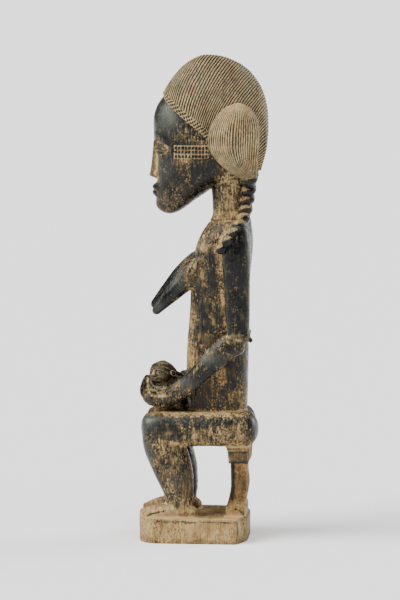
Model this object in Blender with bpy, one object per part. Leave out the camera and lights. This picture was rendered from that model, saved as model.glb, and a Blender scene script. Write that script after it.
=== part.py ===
"""Seated mother with her child in her hands, carved with its stool and plinth from one block of wood.

Metres, +Z up. She faces -Y and her left side is +X. The origin is the middle of the plinth's underside.
"""

import math

import bmesh
import bpy
import numpy as np

# Driving sizes
PLINTH_LENGTH = 0.113
PLINTH_WIDTH = 0.096
PLINTH_HEIGHT = 0.0255
PLINTH_CORNER_LENGTH = 0.010
PLINTH_CORNER_WIDTH = 0.024
PLINTH_TOE_CUT = 0.009
PLINTH_EDGE = 0.0022
FIGURE_HEIGHT = 0.4745
JOIN = 0.003

# The stool is one post behind her legs, with a cap under the seat and a foot on the plinth
STOOL_BACK = 0.047
CAP_WIDTH = 0.060
CAP_LENGTH = 0.021
CAP_HEIGHT = 0.0180
CAP_TAPER = 0.90
SHAFT_WIDTH = 0.034
SHAFT_LENGTH = 0.0185
FOOT_WIDTH = 0.057
FOOT_LENGTH = 0.020
FOOT_HEIGHT = 0.0105
FOOT_FORWARD = 0.003
STOOL_EDGE = 0.0010

# The carving is drawn on a grid from her soles to her crown, whose unit is 1 mm at the sizes above
GRID_SOLE = 25.5
GRID_CROWN = 500.0
UNIT = FIGURE_HEIGHT / (GRID_CROWN - GRID_SOLE)
GRID_SEAT = 98.5

# Coiffure: counts of carved strands
CAP_STRANDS = 20
LOBE_STRANDS = 14
STRAND_DEPTH = 1.3
BRAID_BEADS = 9

# Face, in grid units
HAIRLINE = 452.0
BROW = 413.0
EYE = 403.0
NOSE_BASE = 374.0
MOUTH = 361.0
CHIN = 335.5
EYE_OUT = 13.0

WOOD_COLOUR = (0.30, 0.22, 0.14, 1.0)
WOOD_ROUGHNESS = 0.62


def empty_scene():
    for obj in list(bpy.data.objects):
        bpy.data.objects.remove(obj, do_unlink=True)


def collection(name):
    made = bpy.data.collections.new(name)
    bpy.context.scene.collection.children.link(made)
    return made


def on_grid(points):
    """Grid points as metres, with her soles on the plinth's top."""
    placed = np.array(points, float) * UNIT
    placed[..., 2] += PLINTH_HEIGHT - GRID_SOLE * UNIT
    return placed


def mirrored(keys):
    """The same keys for her right side."""
    return [(-key[0], *key[1:]) for key in keys]


def wave(phase):
    """A carved strand's profile: 1 on its crest, 0 in the groove."""
    return 0.5 + 0.5 * np.cos(2 * math.pi * phase)


def bell(distance, reach):
    return np.clip(1 - (distance / reach) ** 2, 0, None) ** 2


def spline(keys, at):
    """A smooth curve through the keys, read at fractional key numbers."""
    keys = np.asarray(keys, float)
    padded = np.vstack([2 * keys[0] - keys[1], keys, 2 * keys[-1] - keys[-2]])
    low = np.clip(np.floor(at).astype(int), 0, len(keys) - 2)
    part = (at - low)[:, None]
    a, b, c, d = (padded[low + step] for step in range(4))
    return 0.5 * (
        2 * b
        + (c - a) * part
        + (2 * a - 5 * b + 4 * c - d) * part**2
        + (3 * b - a - 3 * c + d) * part**3
    )


def add_mesh(name, points, faces, guides):
    mesh = bpy.data.meshes.new(name)
    mesh.from_pydata([tuple(point) for point in points], [], faces)
    edit = bmesh.new()
    edit.from_mesh(mesh)
    bmesh.ops.remove_doubles(edit, verts=edit.verts, dist=0.02 * UNIT)
    bmesh.ops.recalc_face_normals(edit, faces=edit.faces)
    edit.to_mesh(mesh)
    edit.free()
    obj = bpy.data.objects.new(name, mesh)
    guides.objects.link(obj)
    return obj


def stations(total, rings, ends):
    """Distances along a loft, closer together where an end rounds off."""
    quarter = 1 - np.cos(np.linspace(0.35, math.pi / 2, 3))
    first = ends[0] * quarter if ends[0] else np.zeros(1)
    last = total - ends[1] * quarter[::-1] if ends[1] else np.full(1, total)
    middle = np.linspace(first[-1], last[0], rings)[1:-1]
    return np.concatenate([first, middle, last])


def rounding(at, total, ends):
    """How much of its full section a loft keeps near its rounded ends."""
    kept = np.ones(len(at))
    for distance, reach in ((at, ends[0]), (total - at, ends[1])):
        if reach:
            short = np.clip(1 - distance / reach, 0, 1)
            kept *= np.sqrt(np.clip(1 - short**2, 0, 1))
    return kept


def loft(name, keys, rings, sides, guides, ends=(0, 0), level=False, relief=None, crowd=0):
    """A closed body through unlike sections, each (x, y, z, half width, half depth, squareness) on the grid.

    ends are the lengths over which it rounds off, level keeps its sections horizontal, relief moves the
    points of the rings, given the angle and the share of the length of each, and crowd draws them forwards.
    """
    keys = np.asarray(keys, float)
    fine = np.linspace(0, len(keys) - 1, 30 * len(keys))
    steps = np.linalg.norm(np.diff(spline(keys, fine)[:, :3], axis=0), axis=1)
    length = np.concatenate([[0], np.cumsum(steps)])
    at = stations(length[-1], rings, ends)
    sections = spline(keys, np.interp(at, length, fine))
    centre = sections[:, :3]
    half = sections[:, 3:5] * rounding(at, length[-1], ends)[:, None]
    across = np.tile([1.0, 0.0, 0.0], (len(at), 1))
    deep = np.tile([0.0, 1.0, 0.0], (len(at), 1))
    if not level:
        tangent = np.gradient(centre, axis=0)
        tangent /= np.linalg.norm(tangent, axis=1)[:, None]
        across -= tangent * tangent[:, :1]
        across /= np.linalg.norm(across, axis=1)[:, None]
        deep = np.cross(tangent, across)
    angle = np.linspace(0, 2 * math.pi, sides, endpoint=False)
    angle = angle - crowd * np.cos(angle)
    power = 2 / sections[:, 5:6]
    cosine = np.sign(np.cos(angle)) * np.abs(np.cos(angle)) ** power
    sine = np.sign(np.sin(angle)) * np.abs(np.sin(angle)) ** power
    rim = (
        centre[:, None]
        + across[:, None] * (half[:, :1] * cosine)[..., None]
        + deep[:, None] * (half[:, 1:] * sine)[..., None]
    )
    if relief:
        rim = relief(rim, centre[:, None], angle[None, :], (at / at[-1])[:, None])
    return skin(name, on_grid(rim), guides)


def skin(name, rim, guides):
    """Rings of points joined by quads and closed at both ends."""
    rings, sides = rim.shape[:2]
    faces = []
    for ring in range(rings - 1):
        for side in range(sides):
            after = (side + 1) % sides
            low, high = ring * sides, (ring + 1) * sides
            faces.append((low + side, low + after, high + after, high + side))
    faces.append(tuple(range(sides - 1, -1, -1)))
    faces.append(tuple(range((rings - 1) * sides, rings * sides)))
    return add_mesh(name, rim.reshape(-1, 3), faces, guides)


def ball(name, centre, radii, guides, segments=6, rings=3):
    edit = bmesh.new()
    bmesh.ops.create_uvsphere(edit, u_segments=segments, v_segments=rings, radius=UNIT)
    bmesh.ops.scale(edit, vec=radii, verts=edit.verts)
    mesh = bpy.data.meshes.new(name)
    edit.to_mesh(mesh)
    edit.free()
    obj = bpy.data.objects.new(name, mesh)
    obj.location = on_grid(centre)
    guides.objects.link(obj)
    return obj


def block(name, low, high, bottom_scale, edge, guides):
    """A box from low to high, in metres, whose underside is bottom_scale of its top, with rounded edges."""
    low, high = np.array(low), np.array(high)
    edit = bmesh.new()
    bmesh.ops.create_cube(edit, size=1)
    bmesh.ops.scale(edit, vec=high - low, verts=edit.verts)
    for corner in edit.verts:
        if corner.co.z < 0:
            corner.co.x *= bottom_scale
            corner.co.y *= bottom_scale
    bmesh.ops.bevel(edit, geom=edit.edges, offset=edge, segments=1, affect="EDGES")
    mesh = bpy.data.meshes.new(name)
    edit.to_mesh(mesh)
    edit.free()
    obj = bpy.data.objects.new(name, mesh)
    obj.location = (low + high) / 2
    guides.objects.link(obj)
    return obj


def plinth(guides):
    """An oblong slab with cut corners, blunter at the toes."""
    front, side, back = -PLINTH_LENGTH / 2, PLINTH_WIDTH / 2, PLINTH_LENGTH / 2
    toe = PLINTH_TOE_CUT
    half = [
        (side * 0.25, front),
        (side - PLINTH_CORNER_WIDTH * 0.62, front + toe * 0.35),
        (side - PLINTH_CORNER_WIDTH * 0.22, front + toe),
        (side, front + toe + PLINTH_CORNER_LENGTH),
        (side, back - PLINTH_CORNER_LENGTH),
        (side - PLINTH_CORNER_WIDTH, back),
    ]
    outline = half + [(-x, y) for x, y in reversed(half)]
    curve = bpy.data.curves.new("plinth_outline", "CURVE")
    curve.dimensions = "2D"
    curve.fill_mode = "BOTH"
    curve.extrude = PLINTH_HEIGHT / 2
    line = curve.splines.new("POLY")
    line.points.add(len(outline) - 1)
    for point, (x, y) in zip(line.points, outline):
        point.co = (x, y, 0, 1)
    line.use_cyclic_u = True
    drawn = bpy.data.objects.new("plinth_outline", curve)
    drawn.location.z = PLINTH_HEIGHT / 2
    guides.objects.link(drawn)
    bpy.context.view_layer.update()
    evaluated = drawn.evaluated_get(bpy.context.evaluated_depsgraph_get())
    mesh = bpy.data.meshes.new_from_object(evaluated)
    edit = bmesh.new()
    edit.from_mesh(mesh)
    bmesh.ops.remove_doubles(edit, verts=edit.verts, dist=1e-6)
    bmesh.ops.dissolve_limit(
        edit, angle_limit=math.radians(1), verts=edit.verts, edges=edit.edges
    )
    bmesh.ops.bevel(edit, geom=edit.edges, offset=PLINTH_EDGE, segments=1, affect="EDGES")
    edit.to_mesh(mesh)
    edit.free()
    obj = bpy.data.objects.new("plinth", mesh)
    obj.matrix_world = drawn.matrix_world
    bpy.data.objects.remove(drawn)
    guides.objects.link(obj)
    return obj


def seat_level():
    """Height of the underside of her thighs, in metres."""
    return PLINTH_HEIGHT + (GRID_SEAT - GRID_SOLE) * UNIT


def stool(guides):
    """Cap, waisted shaft and foot of the post behind her legs."""
    top, floor = seat_level(), PLINTH_HEIGHT
    foot_back = STOOL_BACK - FOOT_FORWARD
    cap = block(
        "stool_cap",
        (-CAP_WIDTH / 2, STOOL_BACK - CAP_LENGTH / 2, top - CAP_HEIGHT),
        (CAP_WIDTH / 2, STOOL_BACK + CAP_LENGTH / 2, top + JOIN),
        CAP_TAPER,
        STOOL_EDGE,
        guides,
    )
    foot = block(
        "stool_foot",
        (-FOOT_WIDTH / 2, foot_back - FOOT_LENGTH / 2, floor - JOIN),
        (FOOT_WIDTH / 2, foot_back + FOOT_LENGTH / 2, floor + FOOT_HEIGHT),
        1.0,
        STOOL_EDGE,
        guides,
    )
    low, high = floor + FOOT_HEIGHT - JOIN, top - CAP_HEIGHT + JOIN
    # Share of the height, shift towards the back, and shares of the shaft's length and width
    profile = [
        (0.00, -0.16, 0.90, 1.22),
        (0.14, -0.10, 0.82, 0.98),
        (0.34, 0.03, 0.98, 0.88),
        (0.52, 0.06, 1.03, 0.86),
        (0.76, 0.01, 0.93, 0.92),
        (1.00, 0.00, 0.92, 1.04),
    ]
    keys = [
        (
            0,
            (STOOL_BACK + shift * SHAFT_LENGTH) / UNIT,
            (low + share * (high - low) - PLINTH_HEIGHT) / UNIT + GRID_SOLE,
            wide * SHAFT_WIDTH / 2 / UNIT,
            long * SHAFT_LENGTH / 2 / UNIT,
            3.0,
        )
        for share, shift, long, wide in profile
    ]
    shaft = loft("stool_shaft", keys, 6, 12, guides, level=True)
    return [cap, foot, shaft]


def leg(side, flip, seat, guides):
    """Thigh, shin, foot and toes; seat lengthens the buttock."""
    thigh = [
        (23.0, -53.5, 113.5, 17.0, 17.0, 2.5),
        (23.0, -36.0, 115.5, 19.0, 18.0, 2.9),
        (23.0, -10.0, 116.5, 19.8, 18.4, 3.0),
        (22.5, 20.0, 117.0, 20.0, 18.6, 3.0),
        (21.5, 45.0, 117.0, 20.0, 18.6, 2.9),
        (20.0, 64.0 + seat, 117.0, 19.0, 18.0, 2.5),
    ]
    shin = [
        (25.0, -12.0, 28.0, 13.0, 15.5, 2.2),
        (25.0, -14.2, 37.0, 12.8, 13.8, 2.3),
        (25.0, -14.0, 47.0, 13.4, 15.4, 2.4),
        (25.0, -17.4, 61.0, 14.5, 18.4, 2.4),
        (25.0, -21.5, 76.0, 16.0, 21.5, 2.5),
        (24.5, -27.0, 92.0, 17.0, 22.5, 2.7),
        (24.0, -32.0, 108.0, 17.0, 20.5, 2.7),
        (23.5, -34.0, 118.0, 16.0, 17.0, 2.7),
    ]
    sole = [
        (24.5, 5.5, 28.5, 9.0, 5.0, 2.4),
        (25.0, -8.0, 30.0, 12.0, 9.0, 2.4),
        (25.5, -22.0, 30.5, 12.8, 9.6, 2.4),
        (26.0, -36.0, 29.0, 13.2, 8.4, 2.4),
        (26.0, -48.0, 27.5, 13.2, 5.6, 2.4),
    ]
    pieces = [
        loft(f"thigh_{side}", flip(thigh), 5, 12, guides, ends=(10, 13)),
        loft(f"shin_{side}", flip(shin), 6, 11, guides, level=True),
        loft(f"foot_{side}", flip(sole), 4, 10, guides, ends=(5, 0)),
    ]
    for toe, reach in enumerate((-55.5, -55.0, -54.0, -52.5, -50.5)):
        across = 16.0 + 5.1 * toe
        keys = [
            (across, -42.0, 28.5, 2.7, 6.0, 2.2),
            (across, reach, 27.0, 2.2, 4.0, 2.2),
        ]
        pieces.append(loft(f"toe_{side}_{toe + 1}", flip(keys), 2, 5, guides))
    return pieces


def torso(guides):
    body = [
        (0, 24.8, 108, 24.0, 29.2, 3.0),
        (0, 24.0, 135, 25.0, 30.5, 3.0),
        (0, 23.5, 158, 26.0, 31.8, 2.9),
        (0, 23.5, 180, 26.0, 32.0, 2.8),
        (0, 24.3, 205, 25.5, 31.5, 2.8),
        (0, 25.5, 235, 26.0, 30.5, 2.8),
        (0, 26.8, 267, 28.5, 30.0, 2.7),
        (0, 30.5, 300, 32.0, 29.5, 2.5),
        (0, 34.0, 318, 29.5, 26.0, 2.4),
        (0, 37.0, 330, 23.0, 21.0, 2.2),
        (0, 38.0, 340, 16.5, 18.5, 2.1),
    ]
    neck = [
        (0, 38.0, 325, 18.0, 19.0, 2.2),
        (0, 37.6, 345, 17.3, 19.5, 2.2),
        (0, 37.2, 362, 17.2, 20.3, 2.2),
        (0, 36.5, 385, 18.5, 22.0, 2.2),
    ]
    return [
        loft("torso", body, 8, 14, guides, level=True),
        loft("neck", neck, 4, 12, guides, level=True),
    ]


def breast(side, flip, rise, guides):
    """A long tapered breast; rise sets it further out from the chest than the other."""
    axis = [
        (13.0, 17.0, 290.0, 13.5, 15.0),
        (13.5, 3.0, 279.5, 13.2, 13.2),
        (14.0, -10.5, 266.5, 11.4, 10.8),
        (15.0, -22.5, 254.0, 8.8, 8.4),
        (15.0, -33.0, 242.8, 6.3, 6.2),
        (15.0, -41.5, 233.6, 3.8, 3.9),
    ]
    keys = []
    for x, y, z, wide, deep in axis:
        out = rise * min(max((15.0 - y) / 18.0, 0), 1)
        keys.append((x, y - out, z + 0.8 * out, wide, deep, 2.0))
    return loft(f"breast_{side}", flip(keys), 6, 10, guides, ends=(0, 4))


def arm(side, flip, lean, guides):
    """Upper arm, armband and forearm; lean brings the elbow forwards."""
    upper = [
        (28.0, 46.0, 329.0, 10.5, 10.5, 2.2),
        (33.0, 45.4, 318.0, 12.5, 14.2, 2.3),
        (36.2, 45.4, 300.0, 12.3, 15.0, 2.5),
        (37.0, 46.5, 262.0, 11.2, 13.3, 2.6),
        (37.5, 47.4, 228.0, 11.0, 12.2, 2.6),
        (37.5, 47.6, 205.0, 10.8, 11.8, 2.5),
    ]
    band = [
        (37.5, 47.2, 214.8, 11.2, 12.2, 2.6),
        (37.5, 47.8, 213.0, 12.2, 13.2, 2.6),
        (37.5, 48.4, 211.2, 11.2, 12.2, 2.6),
    ]
    fore = [
        (37.5, 54.0, 209.0, 10.0, 11.0, 2.3),
        (37.5, 34.0, 200.5, 10.8, 12.8, 2.4),
        (35.5, 15.0, 181.3, 10.3, 11.0, 2.4),
        (31.0, -2.5, 163.5, 9.7, 10.2, 2.4),
        (28.0, -13.4, 155.5, 9.4, 9.6, 2.4),
        (25.0, -22.0, 149.8, 9.2, 9.8, 2.3),
    ]

    def leant(keys):
        placed = []
        for x, y, z, *rest in keys:
            share = min(max((y + 23) / 68, 0), 1) * min(max((345 - z) / 90, 0), 1)
            placed.append((x, y - lean * share, z, *rest))
        return placed

    knot = leant([(38.5, 60.6, 210.0)])
    return [
        loft(f"upper_arm_{side}", flip(leant(upper)), 5, 12, guides, ends=(9, 7)),
        loft(f"armband_{side}", flip(leant(band)), 3, 12, guides),
        loft(f"forearm_{side}", flip(leant(fore)), 6, 12, guides, ends=(7, 0)),
        ball(f"armband_knot_{side}", flip(knot)[0], (3.4, 2.6, 3.2), guides),
    ]


def hand(side, flip, lift, forward, guides):
    """Palm under the child, with four fingers across the front and a thumb; lift and forward part the two hands."""
    palm = [
        (25.5, -21.0, 149.0, 9.2, 9.8, 2.3),
        (20.5, -32.0, 146.5 + lift / 2, 10.2, 8.6, 2.4),
        (16.0, -43.5, 148.5 + lift, 8.6, 7.6, 2.4),
        (11.0, -50.0, 155.0 + lift, 5.5, 6.4, 2.2),
    ]
    pieces = [loft(f"palm_{side}", flip(palm), 4, 10, guides, ends=(0, 5))]
    for finger in range(4):
        height = 144.5 + lift + 5.2 * finger
        bulge = forward + 1.6 * math.sin(math.pi * (finger + 0.5) / 4)
        keys = [
            (14.5, -46.5, height + 1.0, 3.4, 2.9, 2.2),
            (8.0, -51.0 - bulge, height, 3.0, 2.8, 2.2),
            (0.0, -53.0 - bulge, height - 0.5, 2.8, 2.6, 2.2),
            (-8.5, -51.0 - bulge, height - 1.0, 1.8, 1.7, 2.2),
        ]
        pieces.append(finger_along_x(f"finger_{side}_{finger + 1}", flip(keys), guides))
    thumb = [
        (23.0, -33.0, 152.0, 3.8, 4.2, 2.2),
        (20.0, -40.5, 159.5, 3.4, 3.4, 2.2),
        (16.5, -45.5, 167.0, 2.7, 2.7, 2.2),
    ]
    pieces.append(loft(f"thumb_{side}", flip(thumb), 3, 6, guides, ends=(0, 2.5)))
    return pieces


def finger_along_x(name, keys, guides):
    """A short tube whose rings face X, which loft's own frame can't follow."""
    keys = np.asarray(keys, float)
    turned = keys[:, [1, 0, 2, 3, 4, 5]]

    def back(rim, centre, angle, share):
        return rim[..., [1, 0, 2]]

    return loft(name, turned, 4, 5, guides, relief=back)


def child(guides):
    """The child lies back in the hands, looking out over her left forearm."""
    skull = [
        (4.5, -30.0, 158.5, 7.0, 8.0, 2.1),
        (4.5, -30.5, 164.0, 10.5, 11.5, 2.2),
        (4.0, -32.0, 171.0, 11.8, 13.4, 2.2),
        (3.5, -33.5, 177.5, 11.0, 11.6, 2.2),
        (2.5, -34.0, 184.0, 8.0, 7.5, 2.1),
    ]
    trunk = [
        (2.5, -49.0, 154.5, 9.5, 8.0, 2.2),
        (3.5, -38.0, 154.0, 12.5, 10.0, 2.3),
        (4.0, -28.0, 154.5, 13.5, 10.5, 2.3),
        (4.0, -16.0, 156.0, 13.0, 10.5, 2.3),
        (2.0, -3.0, 157.0, 10.0, 9.0, 2.2),
    ]
    near_arm = [
        (13.5, -33.0, 158.5, 4.2, 4.2, 2.1),
        (17.0, -27.0, 155.5, 3.9, 3.9, 2.1),
        (17.5, -19.0, 157.0, 3.4, 3.4, 2.1),
        (14.0, -14.5, 161.0, 2.8, 2.8, 2.1),
    ]
    far_arm = [
        (-6.0, -32.0, 159.0, 4.2, 4.2, 2.1),
        (-12.0, -26.0, 157.0, 3.9, 3.9, 2.1),
        (-11.0, -17.0, 160.0, 3.2, 3.2, 2.1),
    ]
    pieces = [
        loft("child_head", skull, 4, 12, guides, ends=(4, 6), level=True, relief=child_face),
        loft("child_trunk", trunk, 4, 10, guides, ends=(4, 4)),
        loft("child_arm_near", near_arm, 3, 5, guides, ends=(0, 2)),
        loft("child_arm_far", far_arm, 3, 5, guides, ends=(0, 2)),
        ball("child_nose", (12.0, -42.5, 170.0), (2.6, 2.6, 3.4), guides),
        ball("child_ear_near", (10.5, -24.0, 171.0), (3.0, 3.6, 3.4), guides),
        ball("child_ear_far", (-6.5, -28.0, 171.5), (3.0, 3.6, 3.4), guides),
    ]
    for name, out, top in (("near", 6.5, 172.0), ("far", -7.5, 177.5)):
        thigh = [
            (out, -17.0, 154.0, 5.2, 5.4, 2.1),
            (out, -12.5, 163.0, 5.0, 5.2, 2.1),
            (out, -9.0, top - 4.0, 4.6, 4.8, 2.1),
        ]
        calf = [
            (out, -9.0, top - 3.5, 4.4, 4.4, 2.1),
            (out, -4.0, top - 12.0, 4.0, 4.0, 2.1),
            (out, -3.0, 150.0, 3.6, 3.6, 2.1),
        ]
        pieces.append(loft(f"child_thigh_{name}", thigh, 2, 5, guides, ends=(0, 4)))
        pieces.append(loft(f"child_calf_{name}", calf, 2, 5, guides, ends=(3, 0)))
    return pieces


def child_face(rim, centre, angle, share):
    """Sinks the eyes of the child's face, which looks along +X and a little forwards."""
    offset = rim - centre
    sideways = offset[..., 1] + 3.5
    height = rim[..., 2] - 171.5
    hollow = sum(bell(np.hypot((sideways - eye) / 3.4, height / 2.4), 1) for eye in (-5.0, 4.0))
    rim[..., 0] -= 1.3 * hollow * (offset[..., 0] > 0)
    return rim


def face(rim, centre, angle, share):
    """Cuts brows, eye sockets, eyelids, nose, lips and chin into the front of the head."""
    x, z = np.abs(rim[..., 0]), rim[..., 2]
    front = np.clip(-np.sin(angle) * 1.6, 0, 1) * np.ones_like(x)
    brow_line = BROW - 0.022 * (x - 12.0) ** 2
    below = (brow_line - z) / 27.0
    socket = np.clip(below / 0.16, 0, 1) * np.clip(1 - below, 0, 1) ** 1.3
    socket *= np.clip((x - 2.0) / 5.0, 0, 1) * np.clip(1.25 - (x / 29.0) ** 3, 0, 1)
    forward = -4.2 * socket + 0.8 * bell(z - brow_line - 1.5, 4.5)
    lid = 1 - ((x - EYE_OUT) / 8.8) ** 2 - ((z - EYE) / 5.2) ** 2
    forward += 3.0 * np.sqrt(np.clip(lid, 0, 1))
    down = np.clip((BROW + 2 - z) / (BROW + 2 - NOSE_BASE), 0, 1)
    ridge = np.clip(1 - (x / (3.4 + 3.4 * down**2)) ** 2, 0, 1) ** 0.7
    tip = np.clip((z - NOSE_BASE + 2.5) / 3.5, 0, 1)
    forward += (1.2 + 7.4 * down) * ridge * tip * np.clip(down * 8, 0, 1)
    for height, reach, out in ((MOUTH + 2.4, 2.9, 3.0), (MOUTH - 2.6, 2.9, 2.7)):
        forward += out * bell(z - height, reach) * np.clip(1 - (x / 9.0) ** 2, 0, 1)
    forward += 2.2 * bell(np.hypot(x / 11.0, (z - 345.0) / 9.0), 1)
    rim[..., 1] -= forward * front
    return rim


def head(guides):
    """Skull and face, from the chin up into the coiffure."""
    levels = [
        (CHIN, -30.0, -22.0, 5.0, 2.0),
        (341.0, -36.0, -12.0, 11.5, 2.1),
        (350.0, -38.5, 0.0, 16.5, 2.2),
        (361.0, -38.5, 16.0, 21.5, 2.3),
        (374.0, -38.0, 34.0, 26.0, 2.4),
        (388.0, -38.5, 44.0, 29.0, 2.5),
        (403.0, -40.0, 52.0, 30.5, 2.5),
        (420.0, -42.0, 56.0, 31.0, 2.4),
        (436.0, -42.0, 57.0, 30.5, 2.3),
        (450.0, -37.0, 57.0, 28.5, 2.2),
        (464.0, -25.0, 52.0, 24.0, 2.1),
        (478.0, -8.0, 44.0, 16.0, 2.0),
    ]
    keys = [
        (0, (front + back) / 2, z, half, (back - front) / 2, square)
        for z, front, back, half, square in levels
    ]
    return loft("head", keys, 25, 18, guides, ends=(3, 0), level=True, relief=face, crowd=0.6)


# Where each strand of the coiffure leaves the hairline, and where it meets the crest, on her left side
HAIRLINE_KEYS = [
    (0.0, -33.0, 459.0),
    (13.0, -29.5, 453.5),
    (23.5, -19.0, 443.0),
    (30.0, -4.0, 430.5),
    (32.5, 8.0, 421.0),
    (33.5, 18.0, 411.0),
    (33.0, 30.0, 398.0),
    (30.0, 42.0, 386.0),
    (21.0, 46.0, 377.0),
    (10.0, 47.0, 373.0),
    (0.0, 47.0, 371.5),
]
CREST_KEYS = [
    (0.0, -33.5, 460.0),
    (0.0, -15.0, 485.5),
    (0.0, 5.0, 498.5),
    (0.0, 26.0, 498.5),
    (0.0, 44.0, 492.0),
    (0.0, 58.0, 481.5),
    (0.0, 68.0, 467.5),
    (0.0, 74.0, 450.0),
    (0.0, 76.0, 428.0),
    (0.0, 74.0, 402.0),
    (0.0, 68.5, 381.0),
]


COIFFURE_MIDDLE = (0.0, 22.0, 430.0)


def coiffure_cap(guides, rows=4, cuts=2):
    """The cap of hair: strands that rise from the hairline and lean back to the crest."""
    columns = CAP_STRANDS * cuts
    number = np.linspace(0, len(HAIRLINE_KEYS) - 1, columns + 1)
    low, high = spline(HAIRLINE_KEYS, number), spline(CREST_KEYS, number)
    low[[0, -1], 0] = high[:, 0] = 0
    rise = np.sin(np.linspace(0, math.pi / 2, rows + 1))[None, :, None]
    run = high - low
    bow = np.stack([0 * run[:, 0], -run[:, 2], run[:, 1]], axis=1)[:, None] * 0.22
    sheet = low[:, None] + run[:, None] * rise + bow * rise * (1 - rise)
    belly = 3.5 * np.sin(math.pi * np.clip(rise * 1.35, 0, 1))[..., 0]
    sheet[..., 0] = low[:, None, 0] * (1 - rise[..., 0] ** 2.5) ** 0.4
    sheet[..., 0] += belly * (low[:, None, 0] / 33.5)
    along, up = np.gradient(sheet, axis=0), np.gradient(sheet, axis=1)
    normal = np.cross(along, up)
    normal /= np.maximum(np.linalg.norm(normal, axis=2), 1e-6)[..., None]
    ends = np.clip(4 * np.sin(np.linspace(0, math.pi, columns + 1)), 0, 1)
    between = (1 - wave(np.linspace(0, CAP_STRANDS, columns + 1))) * ends
    groove = STRAND_DEPTH * between[:, None, None] * np.clip(4 * rise, 0, 1)
    outward = np.sign((normal * (sheet - COIFFURE_MIDDLE)).sum(axis=2))[..., None]
    sheet -= normal * outward * groove
    sheet[[0, -1], :, 0] = 0
    sheet[:, -1, 0] = 0
    other = sheet * (-1, 1, 1)
    rings = np.concatenate([sheet, other[:, -2::-1]], axis=1)
    count = rings.shape[1]
    faces = []
    for column in range(columns):
        for row in range(count):
            after = (row + 1) % count
            here, there = column * count, (column + 1) * count
            faces.append((here + row, there + row, there + after, here + after))
    return add_mesh("coiffure_cap", on_grid(rings).reshape(-1, 3), faces, guides)


def lobe(side, flip, hug, guides):
    """The side lobe of hair, fluted from top to bottom and tied where the braid begins; hug draws that in."""
    body = [
        (31.0, 47.0, 451.5, 6.0, 8.0, 2.0),
        (34.0, 45.8, 444.5, 9.5, 15.5, 2.2),
        (36.5, 44.8, 434.0, 12.5, 22.5, 2.3),
        (37.5, 43.2, 420.0, 14.0, 26.2, 2.3),
        (37.5, 43.4, 405.0, 14.0, 25.4, 2.3),
        (36.5, 46.5, 392.5, 12.5, 20.6, 2.2),
        (33.5, 52.0, 382.0, 10.5, 14.6, 2.1),
        (29.0, 57.5, 374.5, 8.0, 8.6, 2.0),
    ]
    keys = [(x, y - hug * max(0, (420 - z) / 45), z, *rest) for x, y, z, *rest in body]

    def flutes(rim, centre, angle, share):
        depth = STRAND_DEPTH * (1 - wave(angle * LOBE_STRANDS / (2 * math.pi)))
        out = rim - centre
        size = np.maximum(np.linalg.norm(out, axis=-1, keepdims=True), 1e-6)
        return rim - out / size * (depth * np.clip(8 * share, 0, 1))[..., None]

    tie = [
        (29.5, 57.5 - hug, 377.0, 7.4, 8.0, 2.0),
        (28.5, 58.0 - hug, 374.0, 8.4, 9.0, 2.0),
        (27.0, 58.5 - hug, 371.0, 7.0, 7.4, 2.0),
    ]
    return [
        loft(f"lobe_{side}", flip(keys), 6, LOBE_STRANDS * 2, guides, (7, 0), True, flutes),
        loft(f"tie_{side}", flip(tie), 3, 10, guides),
    ]


def braid(side, flip, hug, guides):
    """Two strands twisted together, down the neck and over the shoulder to the armpit; hug draws them in."""
    route = [
        (27.5, 58.5, 376.0, 6.8),
        (21.5, 57.6, 366.5, 7.2),
        (18.5, 56.4, 356.5, 7.2),
        (18.5, 54.4, 346.5, 7.0),
        (22.5, 53.2, 337.0, 6.8),
        (33.0, 49.6, 328.0, 6.6),
        (41.5, 44.4, 320.0, 6.6),
        (46.0, 39.2, 312.0, 6.4),
        (46.8, 32.6, 304.5, 6.0),
        (45.5, 27.2, 297.5, 4.8),
    ]
    keys = [(x, y - hug, z, radius, radius, 2.0) for x, y, z, radius in route]

    def beads(rim, centre, angle, share):
        swell = 0.66 + 0.34 * np.abs(np.sin(math.pi * BRAID_BEADS * share)) ** 0.7
        return centre + (rim - centre) * swell[..., None]

    return loft(f"braid_{side}", flip(keys), BRAID_BEADS * 3 + 1, 6, guides, relief=beads)


def wood():
    material = bpy.data.materials.new("carved_wood")
    material.use_nodes = True
    shader = material.node_tree.nodes["Principled BSDF"]
    shader.inputs["Base Color"].default_value = WOOD_COLOUR
    shader.inputs["Roughness"].default_value = WOOD_ROUGHNESS
    shader.inputs["Metallic"].default_value = 0.0
    return material


def united(name, pieces, home, material):
    """One solid from overlapping pieces; all but the first stay hidden as the operands of its Boolean."""
    solid, operands = pieces[0], collection("carving")
    for piece in pieces[1:]:
        operands.objects.link(piece)
        piece.hide_render = True
        piece.display_type = "WIRE"
    union = solid.modifiers.new("carving", "BOOLEAN")
    union.operation = "UNION"
    union.operand_type = "COLLECTION"
    union.collection = operands
    union.solver = "EXACT"
    solid.name = name
    home.objects.link(solid)
    solid.data.materials.append(material)
    return solid


def main():
    empty_scene()
    home, guides = collection("mother_and_child"), collection("guides")
    pieces = [plinth(guides), *stool(guides), *torso(guides), head(guides), coiffure_cap(guides)]
    # Her two sides differ a little, as the carver left them
    sides = (
        ("left", lambda keys: keys, 4.0, 0.0, 0.0, 0.0, 0.0, 0.0),
        ("right", mirrored, -2.0, 4.5, 7.0, 2.6, 1.6, 3.0),
    )
    for side, flip, seat, rise, lean, lift, forward, hug in sides:
        pieces += leg(side, flip, seat, guides)
        pieces.append(breast(side, flip, rise, guides))
        pieces += arm(side, flip, lean, guides)
        pieces += hand(side, flip, lift, forward, guides)
        pieces += lobe(side, flip, hug, guides)
        pieces.append(braid(side, flip, hug, guides))
    pieces += child(guides)
    united("figure", pieces, home, wood())


main()
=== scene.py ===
import itertools
import math

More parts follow.
